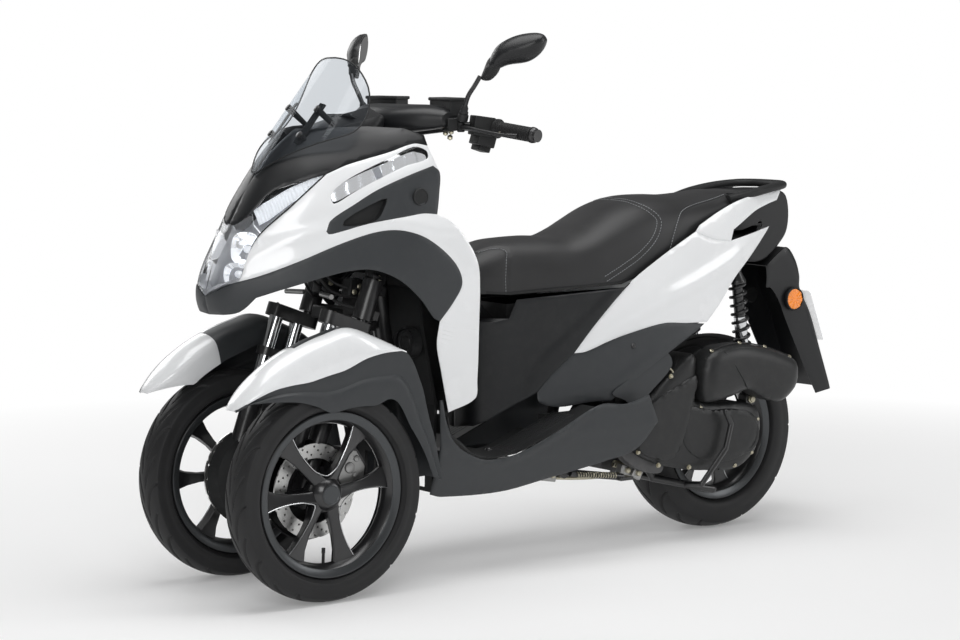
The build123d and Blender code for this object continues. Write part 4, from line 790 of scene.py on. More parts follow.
def shell(grid, thick, middle, used=None, lift=0.0, roll=1.2):
    """A moulded sheet through a grid of points, outside facing away from middle, free edges rolled in."""
    grid = np.asarray(grid, float)
    rows, cols = grid.shape[:2]
    normal = np.cross(np.gradient(grid, axis=0), np.gradient(grid, axis=1))
    normal /= np.linalg.norm(normal, axis=2)[..., None] + 1e-9
    if np.sum(normal * (grid - np.asarray(middle, float))) < 0:
        normal = -normal
    faces = [(i * cols + j, (i + 1) * cols + j, (i + 1) * cols + j + 1, i * cols + j + 1)
             for i in range(rows - 1) for j in range(cols - 1) if used is None or used[i][j]]
    flat, way = grid.reshape(-1, 3), normal.reshape(-1, 3)
    kept = sorted({i for face in faces for i in face})
    place = {i: k for k, i in enumerate(kept)}
    faces = [tuple(place[i] for i in face) for face in faces]
    rim = open_edges(faces)
    up = np.full(len(kept), float(lift))
    for edge in rim:
        up[list(edge)] = lift - roll
    return sheet(flat[kept] + way[kept] * up[:, None], flat[kept] + way[kept] * (lift - thick), faces, rim)


# round the axle, degrees from straight ahead: ridge, lower edge and colour line radius, share of width
RIDGE = [(40.3, 326.8), (48.3, 331), (60.9, 339), (75, 349), (88.6, 365), (98.6, 382), (110.4, 376),
         (122, 373), (135, 339), (152.4, 303), (168, 294), (177.7, 300)]
LOWER_EDGE = [(40, 326.8), (44, 322), (48.5, 302), (57, 270), (66, 243), (76, 215), (87, 192), (103, 205),
              (118, 226), (128, 263), (147, 249), (175, 269), (178, 288)]
COLOUR_LINE = [(40.3, 325), (48, 316), (56, 305), (66, 287), (75.6, 275), (85, 277), (95, 287), (106, 322),
               (117, 358), (122, 371), (135, 337), (152, 301), (178, 298)]
SPREAD = [(40.3, 0.35), (44, 0.6), (50, 0.85), (58, 1), (178, 1)]
GUARD_STEPS = 4                                      # mesh steps between two corners of the section
GUARD_TIP, GUARD_END = 40.3, 178
TOP_END, PAINT_END = 76, 122                         # where the white leaves the inner side, and ends
turns = np.unique(np.concatenate([np.linspace(GUARD_TIP, GUARD_END, 72), [TOP_END, PAINT_END]]))
SIDES = (("left", 1), ("right", -1))
for side, hand in SIDES:
    axle = WHEELS[side]["axle"]
    grid = []
    for turn, top, low, line, spread in zip(turns, follow(RIDGE, turns), follow(LOWER_EDGE, turns),
                                            follow(COLOUR_LINE, turns), follow(SPREAD, turns)):
        line = min(line, top - 0.5)
        low = min(low, line - 0.5)
        rise, drop, middle = min((turn - GUARD_TIP) / 18, 1), top - line, (line + low) / 2
        flap = min(6, 0.1 * (line - low))
        section = [(-52, top - 70 * rise), (-54, top - 40 * rise), (-50, top - 18 * rise),
                   (-34, top - 6 * rise), (-12, top - 0.5 * rise), (8, top), (28, top - min(7, 0.15 * drop)),
                   (42, top - min(20, 0.5 * drop)), (50, line), (49, middle + flap), (49, middle + flap),
                   (56, middle - flap), (55, low)]
        a = math.radians(turn)
        ring = curve(section, GUARD_STEPS)
        grid.append([(axle[0] + r * math.cos(a), axle[1] + hand * o * spread, axle[2] + r * math.sin(a))
                     for o, r in ring])
    columns = len(grid[0]) - 1
    mid_turns = (turns[:-1] + turns[1:]) / 2
    white = [[turn < (TOP_END if j < 5 * GUARD_STEPS else PAINT_END) and j < 8 * GUARD_STEPS
              for j in range(columns)] for turn in mid_turns]
    dark = [[not cell for cell in row] for row in white]
    make(f"{side}_mudguard_paint", *shell(grid, 2.6, axle, white, 1.4), white_paint, f"{side}_fork",
         [f"{side}_fender"])
    make(f"{side}_mudguard_skirt", *shell(grid, 2.6, axle, dark, 0.0), grey_plastic, f"{side}_fork",
         [f"{side}_fender_skirt"], sharp=34)

# ---------------------------------------------------------------- forks and front brakes
# Twin telescopic legs a side: hard-chromed tubes into black lowers, a silver calliper behind the
# axle with its banjo hose, and a black plastic dome that covers the inner side of the brake.
def spin(profile, foot, way, steps=32):
    """A turned part: (distance along, radius) profile about an axis from foot the way it points."""
    foot, way = Vector(foot), Vector(way).normalized()
    across = way.orthogonal().normalized()
    other = way.cross(across)
    rings = [[foot + way * along + (across * math.cos(2 * math.pi * k / steps)
                                    + other * math.sin(2 * math.pi * k / steps)) * max(radius, 0.05)
              for k in range(steps)] for along, radius in profile]
    return loft(rings)


def bolt(foot, way, radius, height, sides=6):
    """A bolt head or screw with a bevelled rim."""
    return spin([(0, radius), (height, radius), (height + 1, radius - 2), (height + 1, 0)], foot, way, sides)


def brick(centre, size, turn=0.0, lean=0.0):
    """A block about a centre, turned about Z and leant about Y, degrees."""
    cx, cy, cz = centre
    ct, st, cl, sl = (f(math.radians(v)) for v in (turn, lean) for f in (math.cos, math.sin))
    points = []
    for a, b, c in ((-1, -1, -1), (1, -1, -1), (1, 1, -1), (-1, 1, -1), (-1, -1, 1), (1, -1, 1), (1, 1, 1),
                    (-1, 1, 1)):
        x, y, z = a * size[0] / 2, b * size[1] / 2, c * size[2] / 2
        x, z = x * cl - z * sl, x * sl + z * cl
        points.append((cx + x * ct - y * st, cy + x * st + y * ct, cz + z))
    return points, [(0, 3, 2, 1), (4, 5, 6, 7), (0, 1, 5, 4), (1, 2, 6, 5), (2, 3, 7, 6), (3, 0, 4, 7)]


hard_chrome = solid_finish("hard_chrome", (0.62, 0.63, 0.64), 0.12, 2.0, 0.004, patch=0.04, Metallic=1.0)
cast_silver = solid_finish("cast_silver_alloy", (0.36, 0.36, 0.355), 0.4, 1.0, 0.08, patch=0.2, dust=0.1,
                           Metallic=0.85)
zinc = solid_finish("zinc_plated_steel", (0.46, 0.43, 0.33), 0.32, 1.5, 0.03, patch=0.25, dust=0.15,
                    Metallic=0.9)
dress(grained_black, "left_brake_cover", "right_brake_cover")
CASTER = math.radians(20)
STEER_UP = Vector((-math.sin(CASTER), 0, math.cos(CASTER)))
STEER_AHEAD = Vector((math.cos(CASTER), 0, math.sin(CASTER)))
KINGPIN_X, KINGPIN_Y = 808, 112                      # where its axis meets the floor's height
LEGS_AHEAD = (84, 24)


def by_kingpin(hand, ahead, up):
    """A place by a kingpin: ahead of it and up along it."""
    return Vector((KINGPIN_X, hand * KINGPIN_Y, 0)) + STEER_AHEAD * ahead + STEER_UP * up


LEG_PARTS = {                  # height up the kingpin, profile, finish
    "chrome": (430, [(0, 16.6), (206, 16.6)], hard_chrome),
    "seals": (420, [(0, 22), (0, 23.5), (14, 23.5), (16, 21), (18, 17)], rubber),
    "lowers": (236, [(0, 12), (4, 22.4), (52, 22.4), (58, 24), (70, 24), (76, 22.4), (150, 22.4), (186, 23),
                     (190, 22)], steel_black),
}
for side, hand in SIDES:
    body = f"{side}_fork"
    for part, (up, profile, finish) in LEG_PARTS.items():
        legs = [spin(profile, by_kingpin(hand, ahead, up), STEER_UP) for ahead in LEGS_AHEAD]
        make(f"{side}_fork_{part}", *gather(*legs), finish, body)
    shoe = plate([(618, 262), (612, 298), (636, 336), (668, 342), (694, 316), (684, 268), (652, 250)], [],
                 upright(DISC_Y + 3, hand), 20)
    bolts = [bolt((a, hand * (DISC_Y + 23), b), (0, hand, 0), radius, 3, sides) for a, b, radius, sides in
             ((636, 318, 8, 6), (668, 322, 8, 6), (640, 280, 8, 6), (655, 298, 13, 24))]
    soften(make(f"{side}_brake_calliper", *gather(shoe, *bolts), cast_silver, body), 2.5)
    tube(f"{side}_brake_hose", [(640, hand * (DISC_Y + 8), 336), (628, hand * (DISC_Y - 4), 380),
                                (640, hand * 122, 440), (668, hand * 118, 520), (690, hand * 114, 600),
                                (664, hand * 112, 660)], 3.6, rubber, body, 8, smooth=8)

# ---------------------------------------------------------------- steering linkage under the nose
# Tie rods, joint housings with their bolts, hoses and the horn, in the open bay between the nose and
# the wheels.
for side, hand in SIDES:
    tube(f"tie_rod_{side}", [(640, hand * 36, 690), (652, hand * 96, 688)], 6, cast_silver, "body", 12,
         smooth=0)
HOUSINGS = ((560, 60, 700, (60, 30, 44)), (560, -60, 700, (60, 30, 44)), (600, 0, 640, (50, 60, 30)),
            (520, 90, 742, (40, 36, 60)), (520, -90, 742, (40, 36, 60)), (520, 0, 760, (60, 50, 50)))
housings = [brick((x, y, z), size, 8 * (y > 0), 12) for x, y, z, size in HOUSINGS]
soften(make("lean_bay_housings", *gather(*housings), grained_black, "body"), 4)
for k, (y, z) in enumerate(((70, 720), (52, 700), (-48, 716), (84, 676), (-76, 690))):
    tube(f"bay_hose_{k}", [(470, y * 0.6, z + 60), (520, y, z), (570, y * 1.1, z - 18), (612, y * 0.7, z - 4),
                           (640, y * 0.5, z + 30)], 4.2 if k % 2 else 3.2, rubber, "body", 8, smooth=8)
studs = [bolt(spot, (0.2, 1, 0.1), 7, 5) for spot in ((560, 76, 706), (575, 76, 694), (520, 109, 752),
                                                      (528, 109, 726), (560, -44, 706), (600, 31, 640))]
make("bay_bolts", *gather(*studs), zinc, "body")
horn = [(0, 30), (0, 35), (6, 35.5), (8, 33), (9, 27), (6, 25), (6, 17), (9, 15), (10, 12), (8, 0)]
soften(make("horn_case", *spin(horn, (450, 120, 570), (1, 0, 0), 48), grained_black, "body"), 0.6)
make("horn_rim", *spin([(-4, 34), (-4, 35.9), (6, 35.9), (6, 34), (-4, 34)], (457, 120, 570), (1, 0, 0), 64),
     alloy_black, "body")

# ---------------------------------------------------------------- windscreen
# Nearly clear polycarbonate bent round the steering head, with a thin black edge; it stands on a
# bracket a side, held by four screws with washers.
screen_glass, here = new_finish("smoked_screen")
smoke = here.noise(160, 2.0)
tinted = here.node("BsdfTransparent", {"Color": (0.9, 0.92, 0.94, 1.0)})
gloss = here.node("BsdfPrincipled",
                  {"Base Color": smoke.mix((0.02, 0.022, 0.025, 1), (0.03, 0.032, 0.036, 1)),
                   "Roughness": smoke * 0.04 + 0.03, "Specular IOR Level": 1.0})
shown = here.node("MixShader", {0: smoke * 0.04 + 0.87, 1: gloss, 2: tinted})
here.node("OutputMaterial", {"Surface": shown})
SCREEN_FOOT = Vector((803, 0, 971))
SCREEN_SLOPE, SCREEN_OUT = Vector((-0.6414, 0, 0.7673)), Vector((0.7673, 0, 0.6414))
SCREEN_RADIUS = 185
SCREEN_HALF = [(0, 6), (60, 56), (130, 112), (180, 144), (215, 151.5), (262, 147), (305, 128), (335, 92),
               (347, 56), (349, 12)]


def on_screen(up, y, out=0.0):
    """A place on the screen: up its slope, off the middle, and out from its face."""
    reach = SCREEN_RADIUS + out
    a = math.asin(max(-1, min(1, y / SCREEN_RADIUS)))
    forward = SCREEN_OUT * (reach * math.cos(a) - SCREEN_RADIUS)
    return SCREEN_FOOT + SCREEN_SLOPE * up + forward + Vector((0, reach * math.sin(a), 0))


rows = curve(SCREEN_HALF, 6)
grid = [[on_screen(up, width * share, 2.6) for share in np.linspace(-1, 1, 41)] for up, width in rows]
make("screen_sheet", *shell(grid, 2.4, (500, 0, 900), roll=0.4), screen_glass, "body", ["windscreen"])
border = [on_screen(up, width, 1.4) for up, width in (*rows, *(rows[::-1] * (1, -1)))]
tube("screen_edge", border[::2], 1.9, grained_black, "body", 6, closed=True, smooth=0)
stays, washers = [], []
for hand in (1, -1):
    for up, length in ((128, 30), (205, 60)):
        head = on_screen(up, hand * 60)
        stays.append(spin([(0, 9), (-8, 8), (-length, 6)], head, SCREEN_OUT, 20))
        washers.append(spin([(2.7, 9), (4, 8.6), (5.4, 6), (5.8, 0)], head, SCREEN_OUT, 24))
    for low, high, near, far, gap, deep in ((108, 226, 50, 66, 6, 5), (90, 150, 52, 64, 8, 60)):
        corners = ((low, far), (low, near), (high, near), (high, far))
        foot = [on_screen(up, hand * y, -gap) for up, y in corners]
        stays.append(loft([foot, [p - SCREEN_OUT * deep for p in foot]]))
soften(make("screen_stays", *gather(*stays), grained_black, "body"), 1.0)
make("screen_screws", *gather(*washers), steel_black, "body")

# ---------------------------------------------------------------- dash and leg shield
# Grained black inner mouldings: the meter pod under the screen with a dark display, the dash below
# it, and the leg shield that closes the apron behind.
dress(grained_black, "dash", "leg_shield", "inner_fender", "horn")
display_glass = solid_finish("display_glass", (0.006, 0.007, 0.008), 0.08, 3.0, 0.0, patch=0.0,
                             Coat_Weight=1.0)


def both_ways(half):
    """Rows from side to side, made from rows that run out from the middle; each starts with its y."""
    return [(-row[0], *row[1:]) for row in half[:0:-1]] + list(half)


# y, x, z, half depth and height of the rings
POD = ((0, 552, 1074, 84, 34), (70, 556, 1066, 74, 26), (84, 560, 1052, 40, 14))
pod = [[(x + deep * blunt(math.cos(a), 0.65), y,
         z + high * blunt(math.sin(a), 0.65) - 0.35 * deep * math.cos(a))
        for a in np.linspace(0, 2 * math.pi, 28, endpoint=False)] for y, x, z, deep, high in both_ways(POD)]
make("meter_pod", *loft(pod), cowl_black, "body")
soften(make("meter_display", *brick((540, 0, 1096), (52, 100, 8), 0, 24), display_glass, "body"), 3)

# ---------------------------------------------------------------- handlebar, cover, grips and controls
# Steel bar under a moulded satin cover; ribbed rubber grips with weighted ends, switch pods, brake
# reservoirs and levers clamped on it.
COVER_STEPS = 32
# y, x, z, half depth and height, lift of the rings
COVER = ((0, 424, 1088, 58, 34, 6), (60, 418, 1090, 56, 33, 5), (120, 392, 1096, 46, 29, 2),
         (160, 366, 1098, 34, 21, 0), (172, 362, 1098, 26, 15, 0))
cover = [[(x + deep * blunt(math.cos(a), 0.7), y,
           z + high * blunt(math.sin(a), 0.75) - 0.16 * deep * math.cos(a) + lift)
          for a in np.linspace(0, 2 * math.pi, COVER_STEPS, endpoint=False)]
         for y, x, z, deep, high, lift in both_ways(COVER)]
smooth_cover = [[tuple(p) for p in ring] for ring in curve(np.array(cover).reshape(len(cover), -1),
                                                           4).reshape(-1, COVER_STEPS, 3)]
make("bar_cover_moulding", *loft(smooth_cover), cowl_black, "steering", ["handlebar_cover"], sharp=50)
grip_rubber = solid_finish("grip_rubber", (0.014, 0.014, 0.0145), 0.6, 0.7, 0.08, patch=0.15,
                           Specular_IOR_Level=0.35)
# x, y, z, size, turn and lean: switch pod, its lower half and horn block, reservoir, its lid, lever clamp
CONTROL_BLOCKS = ((310, 222, 1080, (50, 52, 46), -22, 8), (300, 214, 1050, (44, 64, 34), -18, 16),
                  (292, 196, 1030, (30, 50, 20), -14, 18), (336, 123, 1121, (42, 104, 38), -8, 0),
                  (336, 123, 1142, (47, 111, 8), -8, 0), (350, 150, 1084, (36, 74, 30), -16, -4))
GRIP_RINGS, RING_PITCH = 13, 7.4
grips, ends, pods, levers, bright = [], [], [], [], []
for hand in (1, -1):
    start, end = Vector((288, hand * 250, 1075)), Vector((263, hand * 375, 1060))
    run = (end - start).normalized()
    profile = [(2, 12), (2, 23), (7, 23), (9, 19)]
    for k in range(GRIP_RINGS):
        profile += [(RING_PITCH * k + a, r) for a, r in ((10, 17.4), (13, 17.4), (13.8, 16.3), (16.4, 16.3))]
    profile += [(106, 17.5), (110, 19), (113, 19), (113, 12)]
    grips.append(spin(profile, start, run, 32))
    ends.append(spin([(112, 8), (113, 17), (115, 18.4), (118, 18), (122, 14.5), (126.5, 13.5), (127.8, 11),
                      (127.8, 0)], start, run, 24))
    pods += [brick((x, hand * y, z), size, hand * turn, lean) for x, y, z, size, turn, lean in CONTROL_BLOCKS]
    pods.append(spin([(0, 19), (0, 22), (22, 22.6), (26, 19)], start - run * 30, run, 24))
    pods.append(spin([(-12, 9), (12, 9)], (347, hand * 190, 1078), (0, 0, 1), 20))
    levers.append([(348, hand * 182, 1078), (350, hand * 212, 1077), (340, hand * 262, 1070),
                   (322, hand * 318, 1062), (306, hand * 352, 1060)])
    bright += [bolt((345 + dx, hand * y, z), (0.6, hand * 0.7, 0.3), 7, 4)
               for dx, y, z in ((8, 138, 1062), (14, 168, 1066), (4, 150, 1052))]
    bright.append(spin([(-3, 3), (3, 3)], (318, hand * 300, 1066), (0, 0, 1), 10))
make("bar_grips", *gather(*grips), grip_rubber, "steering", ["grips"], sharp=30)
make("bar_end_weights", *gather(*ends), steel_black, "steering")
soften(make("bar_controls", *gather(*pods), grained_black, "steering", ["controls"]), 2.6, 3)
for (side, hand), path in zip(SIDES, levers):
    tube(f"{side}_brake_lever", path, [5.6, 5.2, 4.6, 4.4, 5.8], steel_black, "steering", 12, smooth=6)
    tube(f"{side}_lever_hose", [(330, hand * 92, 1108), (342, hand * 80, 1100), (362, hand * 60, 1080),
                                (392, hand * 44, 1074)], 3.4, rubber, "steering", 8, smooth=6)
make("control_screws", *gather(*bright), zinc, "steering")

# ---------------------------------------------------------------- mirrors
# Folding mirrors on steel stems: a moulded convex shell with a separate tapered neck, and the glass
# set in its back.
def pillow(outline, depth, reach, to_space, step, back=0.0):
    """A domed pad on a flat outline: it rises to depth over reach in from the edge."""
    loop = np.asarray(outline, float)
    found, faces = fill(loop, (), step, rim=2.0)
    away = to_edges(found, loop, np.roll(loop, -1, 0))
    rise = depth * np.sqrt(1 - (1 - np.clip(away / reach, 0, 1)) ** 2)
    return sheet([to_space(a, b, h) for (a, b), h in zip(found, rise)],
                 [to_space(a, b, -back) for a, b in found], faces)


mirror_glass = solid_finish("mirror_glass", (0.9, 0.9, 0.9), 0.03, 5.0, 0.0, patch=0.0, Metallic=1.0)
MIRROR_HEAD = [(-58, 1210), (-45, 1240), (-28, 1267), (8, 1288), (50, 1297), (78, 1294), (88, 1279),
               (74, 1251), (45, 1231), (-2, 1223), (-22, 1215), (-40, 1204)]
head = curve(MIRROR_HEAD, 5, closed=True)
MIRROR_NECK = [(-66, 1190), (-60, 1212), (-46, 1240), (-30, 1236), (-22, 1214), (-44, 1188)]
neck = curve(MIRROR_NECK, 4, closed=True)
MIRROR_X, MIRROR_Y = 291.6, 303.08                   # the middle of the left head's rim
heads, necks, glasses, stems = [], [], [], []
for hand in (1, -1):
    def to_mirror(u, z, out):
        return (MIRROR_X - 0.71 * u + 0.70 * out, hand * (MIRROR_Y + 0.70 * u + 0.71 * out), z)
    heads.append(pillow(head, 36, 46, to_mirror, 7, 4))
    necks.append(pillow(neck, 22, 20, to_mirror, 6, 4))
    inner = [(u * 0.9 + 1.5, 1256 + (z - 1256) * 0.84) for u, z in head]
    glasses.append(plate(inner, [], lambda u, z, d: to_mirror(u, z, -4.4 - d), 1.2))
    stems.append([(348, hand * 200, 1104), (350, hand * 210, 1126), (352, hand * 226, 1152),
                  (350, hand * 248, 1176), (346, hand * 262, 1196)])
make("mirror_shells", *gather(*heads), cowl_black, "steering", ["mirrors"])
make("mirror_necks", *gather(*necks), grained_black, "steering")
make("mirror_glasses", *gather(*glasses), mirror_glass, "steering")
for (side, hand), path in zip(SIDES, stems):
    tube(f"{side}_mirror_stem", path, 5.6, steel_black, "steering", 14, smooth=8)
BOOT = [(-10, 13), (2, 13), (6, 10), (10, 11), (14, 8.5), (20, 9), (26, 6.5)]
boots = [spin(BOOT, path[0], Vector(path[1]) - Vector(path[0]), 24) for path in stems]
make("mirror_boots", *gather(*boots), rubber, "steering")

# ---------------------------------------------------------------- rear body
# One smooth hull again: black tunnel cover, satin grey lower panels, and white side panels that
# sweep up into the tail with a second white piece above the shut line.
REAR_STATIONS = [225, 190, 100, 0, -150, -300, -450, -600, -740, -890]
REAR_WIDTHS = {
    330: [66, 98, 118, 136, 160, 178, 182, 150, 120, 95],
    520: [62, 92, 110, 128, 152, 166, 165, 145, 115, 85],
    660: [70, 98, 116, 134, 155, 163, 158, 142, 112, 80],
    800: [70, 98, 112, 130, 150, 157, 150, 136, 108, 76],
    905: [70, 98, 112, 125, 140, 145, 140, 128, 100, 70],
}
rear_hull = Hull({z: [(229, 0), *zip(REAR_STATIONS, widths)] for z, widths in REAR_WIDTHS.items()})
tunnel_black = solid_finish("tunnel_satin_black", (0.011, 0.0118, 0.013), 0.44, 0.5, 0.03, patch=0.14,
                            dust=0.02, Specular_IOR_Level=0.34)
side_high = curve([(-43, 512), (-115, 596), (-204, 679), (-301, 737), (-371, 771), (-429, 797)], 6)
side_low = curve([(-43, 512), (-74, 514), (-145, 537), (-236, 559), (-315, 572), (-383, 568), (-460, 565)], 6)
fin_low = curve([(-429, 797), (-498, 775), (-559, 768)], 5)
white_tail = joined(side_high, fin_low, [(-636, 781), (-716, 796)],
                    curve([(-718, 797), (-657, 738), (-571, 671), (-512, 610), (-462, 566)], 5),
                    side_low[::-1])


def flank_crease(x, z):
    """A soft raised line that sweeps up through the white side panel."""
    line = np.interp(x, (-700, -560, -420, -300, -180, -60), (790, 716, 664, 628, 578, 512))
    return 3.5 * math.exp(-((z - line) / 24) ** 2) - 2.0 * math.exp(-((z - line + 34) / 18) ** 2)


make("tail_side_paint", *skin(rear_hull, white_tail, 3, 10, shape=flank_crease, roll=1.6), white_paint,
     "body", ["rear_side_panels"])
fin = joined(fin_low, [(-570, 796), (-590, 806)],
             curve([(-590, 806), (-661, 840), (-720, 856), (-760, 864)], 4), [(-780, 890)],
             curve([(-780, 890), (-690, 884), (-599, 871), (-520, 846), (-444, 813)], 5))
make("tail_fin_paint", *skin(rear_hull, fin, 3, 10, lift=0.6, roll=1.6), white_paint, "body",
     ["upper_side_panels"])
tunnel = joined([(240, 606), (240, 336)], curve([(240, 336), (171, 372), (109, 400), (64, 420)], 4),
                curve([(62, 421), (20, 462), (-43, 512)], 4), side_high[:13],
                [(-188, 668), (118, 652), (138, 606)])


def tunnel_band(x, z):
    """The raised band that runs up in front of the side panels."""
    step = np.interp(z, (331, 416, 472, 517, 572, 640, 760), (119, 96, 72, 31, -39, -120, -260)) - x
    return 2.8 / (1 + math.exp(-max(-40, min(40, step / 4))))


make("tunnel_cover_moulding", *skin(rear_hull, tunnel, 3, 8, lift=-0.6, roll=1.6, shape=tunnel_band),
     tunnel_black, "body", ["centre_cover"])
lower = joined(curve([(60, 419), (56, 396), (0, 381), (-80, 388), (-140, 388)], 5),
               curve([(-145, 387), (-220, 436), (-296, 480), (-410, 540), (-452, 562)], 5),
               side_low[::-1][6:], curve([(-43, 512), (20, 462), (60, 421)], 4))


def lower_rib(x, z):
    """The thin rib along the lower panel."""
    return 3 * math.exp(-((z - np.interp(x, (-430, -300, -150, 60), (548, 505, 425, 400))) / 7) ** 2)


make("lower_side_moulding", *skin(rear_hull, lower, 3, 11, roll=1.6, shape=lower_rib), grey_plastic, "body",
     ["lower_side_panels"])
WING_Y = 158
wing = curve([(-146, 406), (-190, 384), (-228, 356), (-262, 392), (-343, 462), (-324, 496), (-226, 448)], 4,
             closed=True)
make("skirt_wing", *gather(*[plate(wing, [], upright(WING_Y, hand), 3, 14) for hand in (1, -1)]),
     grey_plastic, "body", sharp=30)

# ---------------------------------------------------------------- floor
# Blow-moulded side skirts with a raised lip along the board, and a ribbed footboard between them.
FLANK_HALVES = [(150, 131), (190, 153), (230, 171), (280, 191), (330, 204), (380, 202), (440, 195)]
FLANK_FRONT = 430


class Flank:
    """The sides of the floor: half width by height alone."""

    def at(self, run, z):
        return (FLANK_FRONT - run, float(np.interp(z, *zip(*FLANK_HALVES))), z)

    def run_to(self, x, z):
        return FLANK_FRONT - x


rim_line = curve([(402, 438), (397, 386), (374, 334), (328, 302), (268, 281), (177, 288), (54, 337),
                  (-73, 388), (-160, 384), (-235, 400)], 6)
skirt = joined(rim_line, curve([(-262, 330), (-205, 262), (-116, 240), (60, 212), (199, 192), (380, 198),
                                (417, 208)], 6), [(416, 330), (412, 438)])


def lip(x, z):
    """Raised lip along the top of the skirt."""
    away = np.min(np.hypot(rim_line[:, 0] - x, rim_line[:, 1] - z))
    return 2.4 * math.exp(-((away - 9) / 6) ** 2) - 1.6 * math.exp(-((away - 24) / 6) ** 2)


make("floor_skirt_mouldings", *skin(Flank(), skirt, 3, 10, roll=2.0, shape=lip), grey_plastic, "body",
     ["floor_skirts"])
dress(grained_black, "footboard", "seat_pan", "storage_box")
mats = []
board = curve([(384, 356), (322, 306), (266, 284), (177, 292), (60, 338), (-20, 368)], 8)
MAT_RIBS, LONG_RIBS, RIB_START, RIB_PITCH = 7, 5, 98, 12
for hand in (1, -1):
    for k in range(MAT_RIBS):
        y = hand * (RIB_START + RIB_PITCH * k)
        line = [p for p in board if -10 < p[0] < (360 if k < LONG_RIBS else 300)]
        top = [[(x, y - 2.2, z + 0.2), (x, y - 1.4, z + 3), (x, y + 1.4, z + 3), (x, y + 2.2, z + 0.2)]
               for x, z in line]
        mats.append(loft(top))
make("footboard_ribs", *gather(*mats), rubber, "body", sharp=50)

# ---------------------------------------------------------------- seat
# Long dual seat in black grained vinyl over foam: rider's bolster rising to the passenger's step,
# welted seams and a twin row of grey stitches, on its own hinged pan.
vinyl, here = new_finish("seat_vinyl")
leather = here.node("TexVoronoi", {"Vector": here, "Scale": 620.0, "Randomness": 1.0}, feature="F1")
folds = here.noise(70, 4.0, 0.6)
wear = here.noise(180, 3.0).above(0.6, 0.2)
vinyl = close_finish(vinyl, here, folds.mix((0.015, 0.015, 0.0155, 1), (0.024, 0.024, 0.025, 1)),
                     folds * 0.1 + wear * -0.05 + 0.44, leather * 0.7 + here.noise(2.5, 3.0) * 0.4, 0.12,
                     Specular_IOR_Level=0.42)
thread = solid_finish("grey_thread", (0.24, 0.25, 0.26), 0.7, 0.5, 0.05)
SEAT_TOP = [(250, 752), (224, 762), (180, 778), (131, 792), (70, 796), (6, 797), (-60, 796), (-122, 815),
            (-170, 838), (-220, 862), (-270, 878), (-319, 886), (-388, 887), (-455, 884), (-540, 888),
            (-600, 893), (-680, 893)]
SEAT_LOW = [(-680, 888), (-660, 884), (-560, 808), (-525, 786), (-440, 754), (-354, 724), (-270, 698),
            (-188, 677), (-40, 670), (130, 664), (250, 662)]
SEAT_PLAN = [(240, 0), (239, 50), (228, 84), (190, 96), (100, 108), (0, 124), (-80, 136), (-150, 143),
             (-300, 147), (-400, 139), (-520, 122), (-610, 102), (-652, 76), (-664, 36), (-665, 0)]
PAN, BULGE = 6, 5                                    # gap over the pan; how far the flank swells
ROUNDNESS = 2 / 2.9                                  # power of the cross-section, 1 for an ellipse
SPINE_REAR, SPINE_FRONT = -585, 165                  # the section shrinks toward this line
ROWS = 54
half = curve(SEAT_PLAN, 14)
plan = np.vstack([half, (half * (1, -1))[-2:0:-1]])
top_line, low_line = curve(SEAT_TOP[::-1], 8), curve(SEAT_LOW, 8)
points = []
for k in range(ROWS + 1):
    a = math.pi / 2 * k / ROWS
    reach, rise = math.cos(a) ** ROUNDNESS, math.sin(a) ** ROUNDNESS
    swell = BULGE * (math.sin(min(a * 2.2, math.pi)) - 1) * reach
    for x, y in plan:
        mx = min(max(x, SPINE_REAR), SPINE_FRONT)
        grow = reach + swell / (math.hypot(x - mx, y) + 1e-6)
        px, py = mx + (x - mx) * grow, y * grow
        low = np.interp(px, low_line[:, 0], low_line[:, 1]) + PAN
        top = np.interp(px, top_line[:, 0], top_line[:, 1])
        points.append((px, py, low + max(top - low, 4) * rise))
ring = len(plan)
faces = [(k * ring + j, k * ring + (j + 1) % ring, (k + 1) * ring + (j + 1) % ring, (k + 1) * ring + j)
         for k in range(ROWS) for j in range(ring)]
skin_points = np.array(points)
tree = BVHTree.FromPolygons([Vector(p) for p in points], faces)
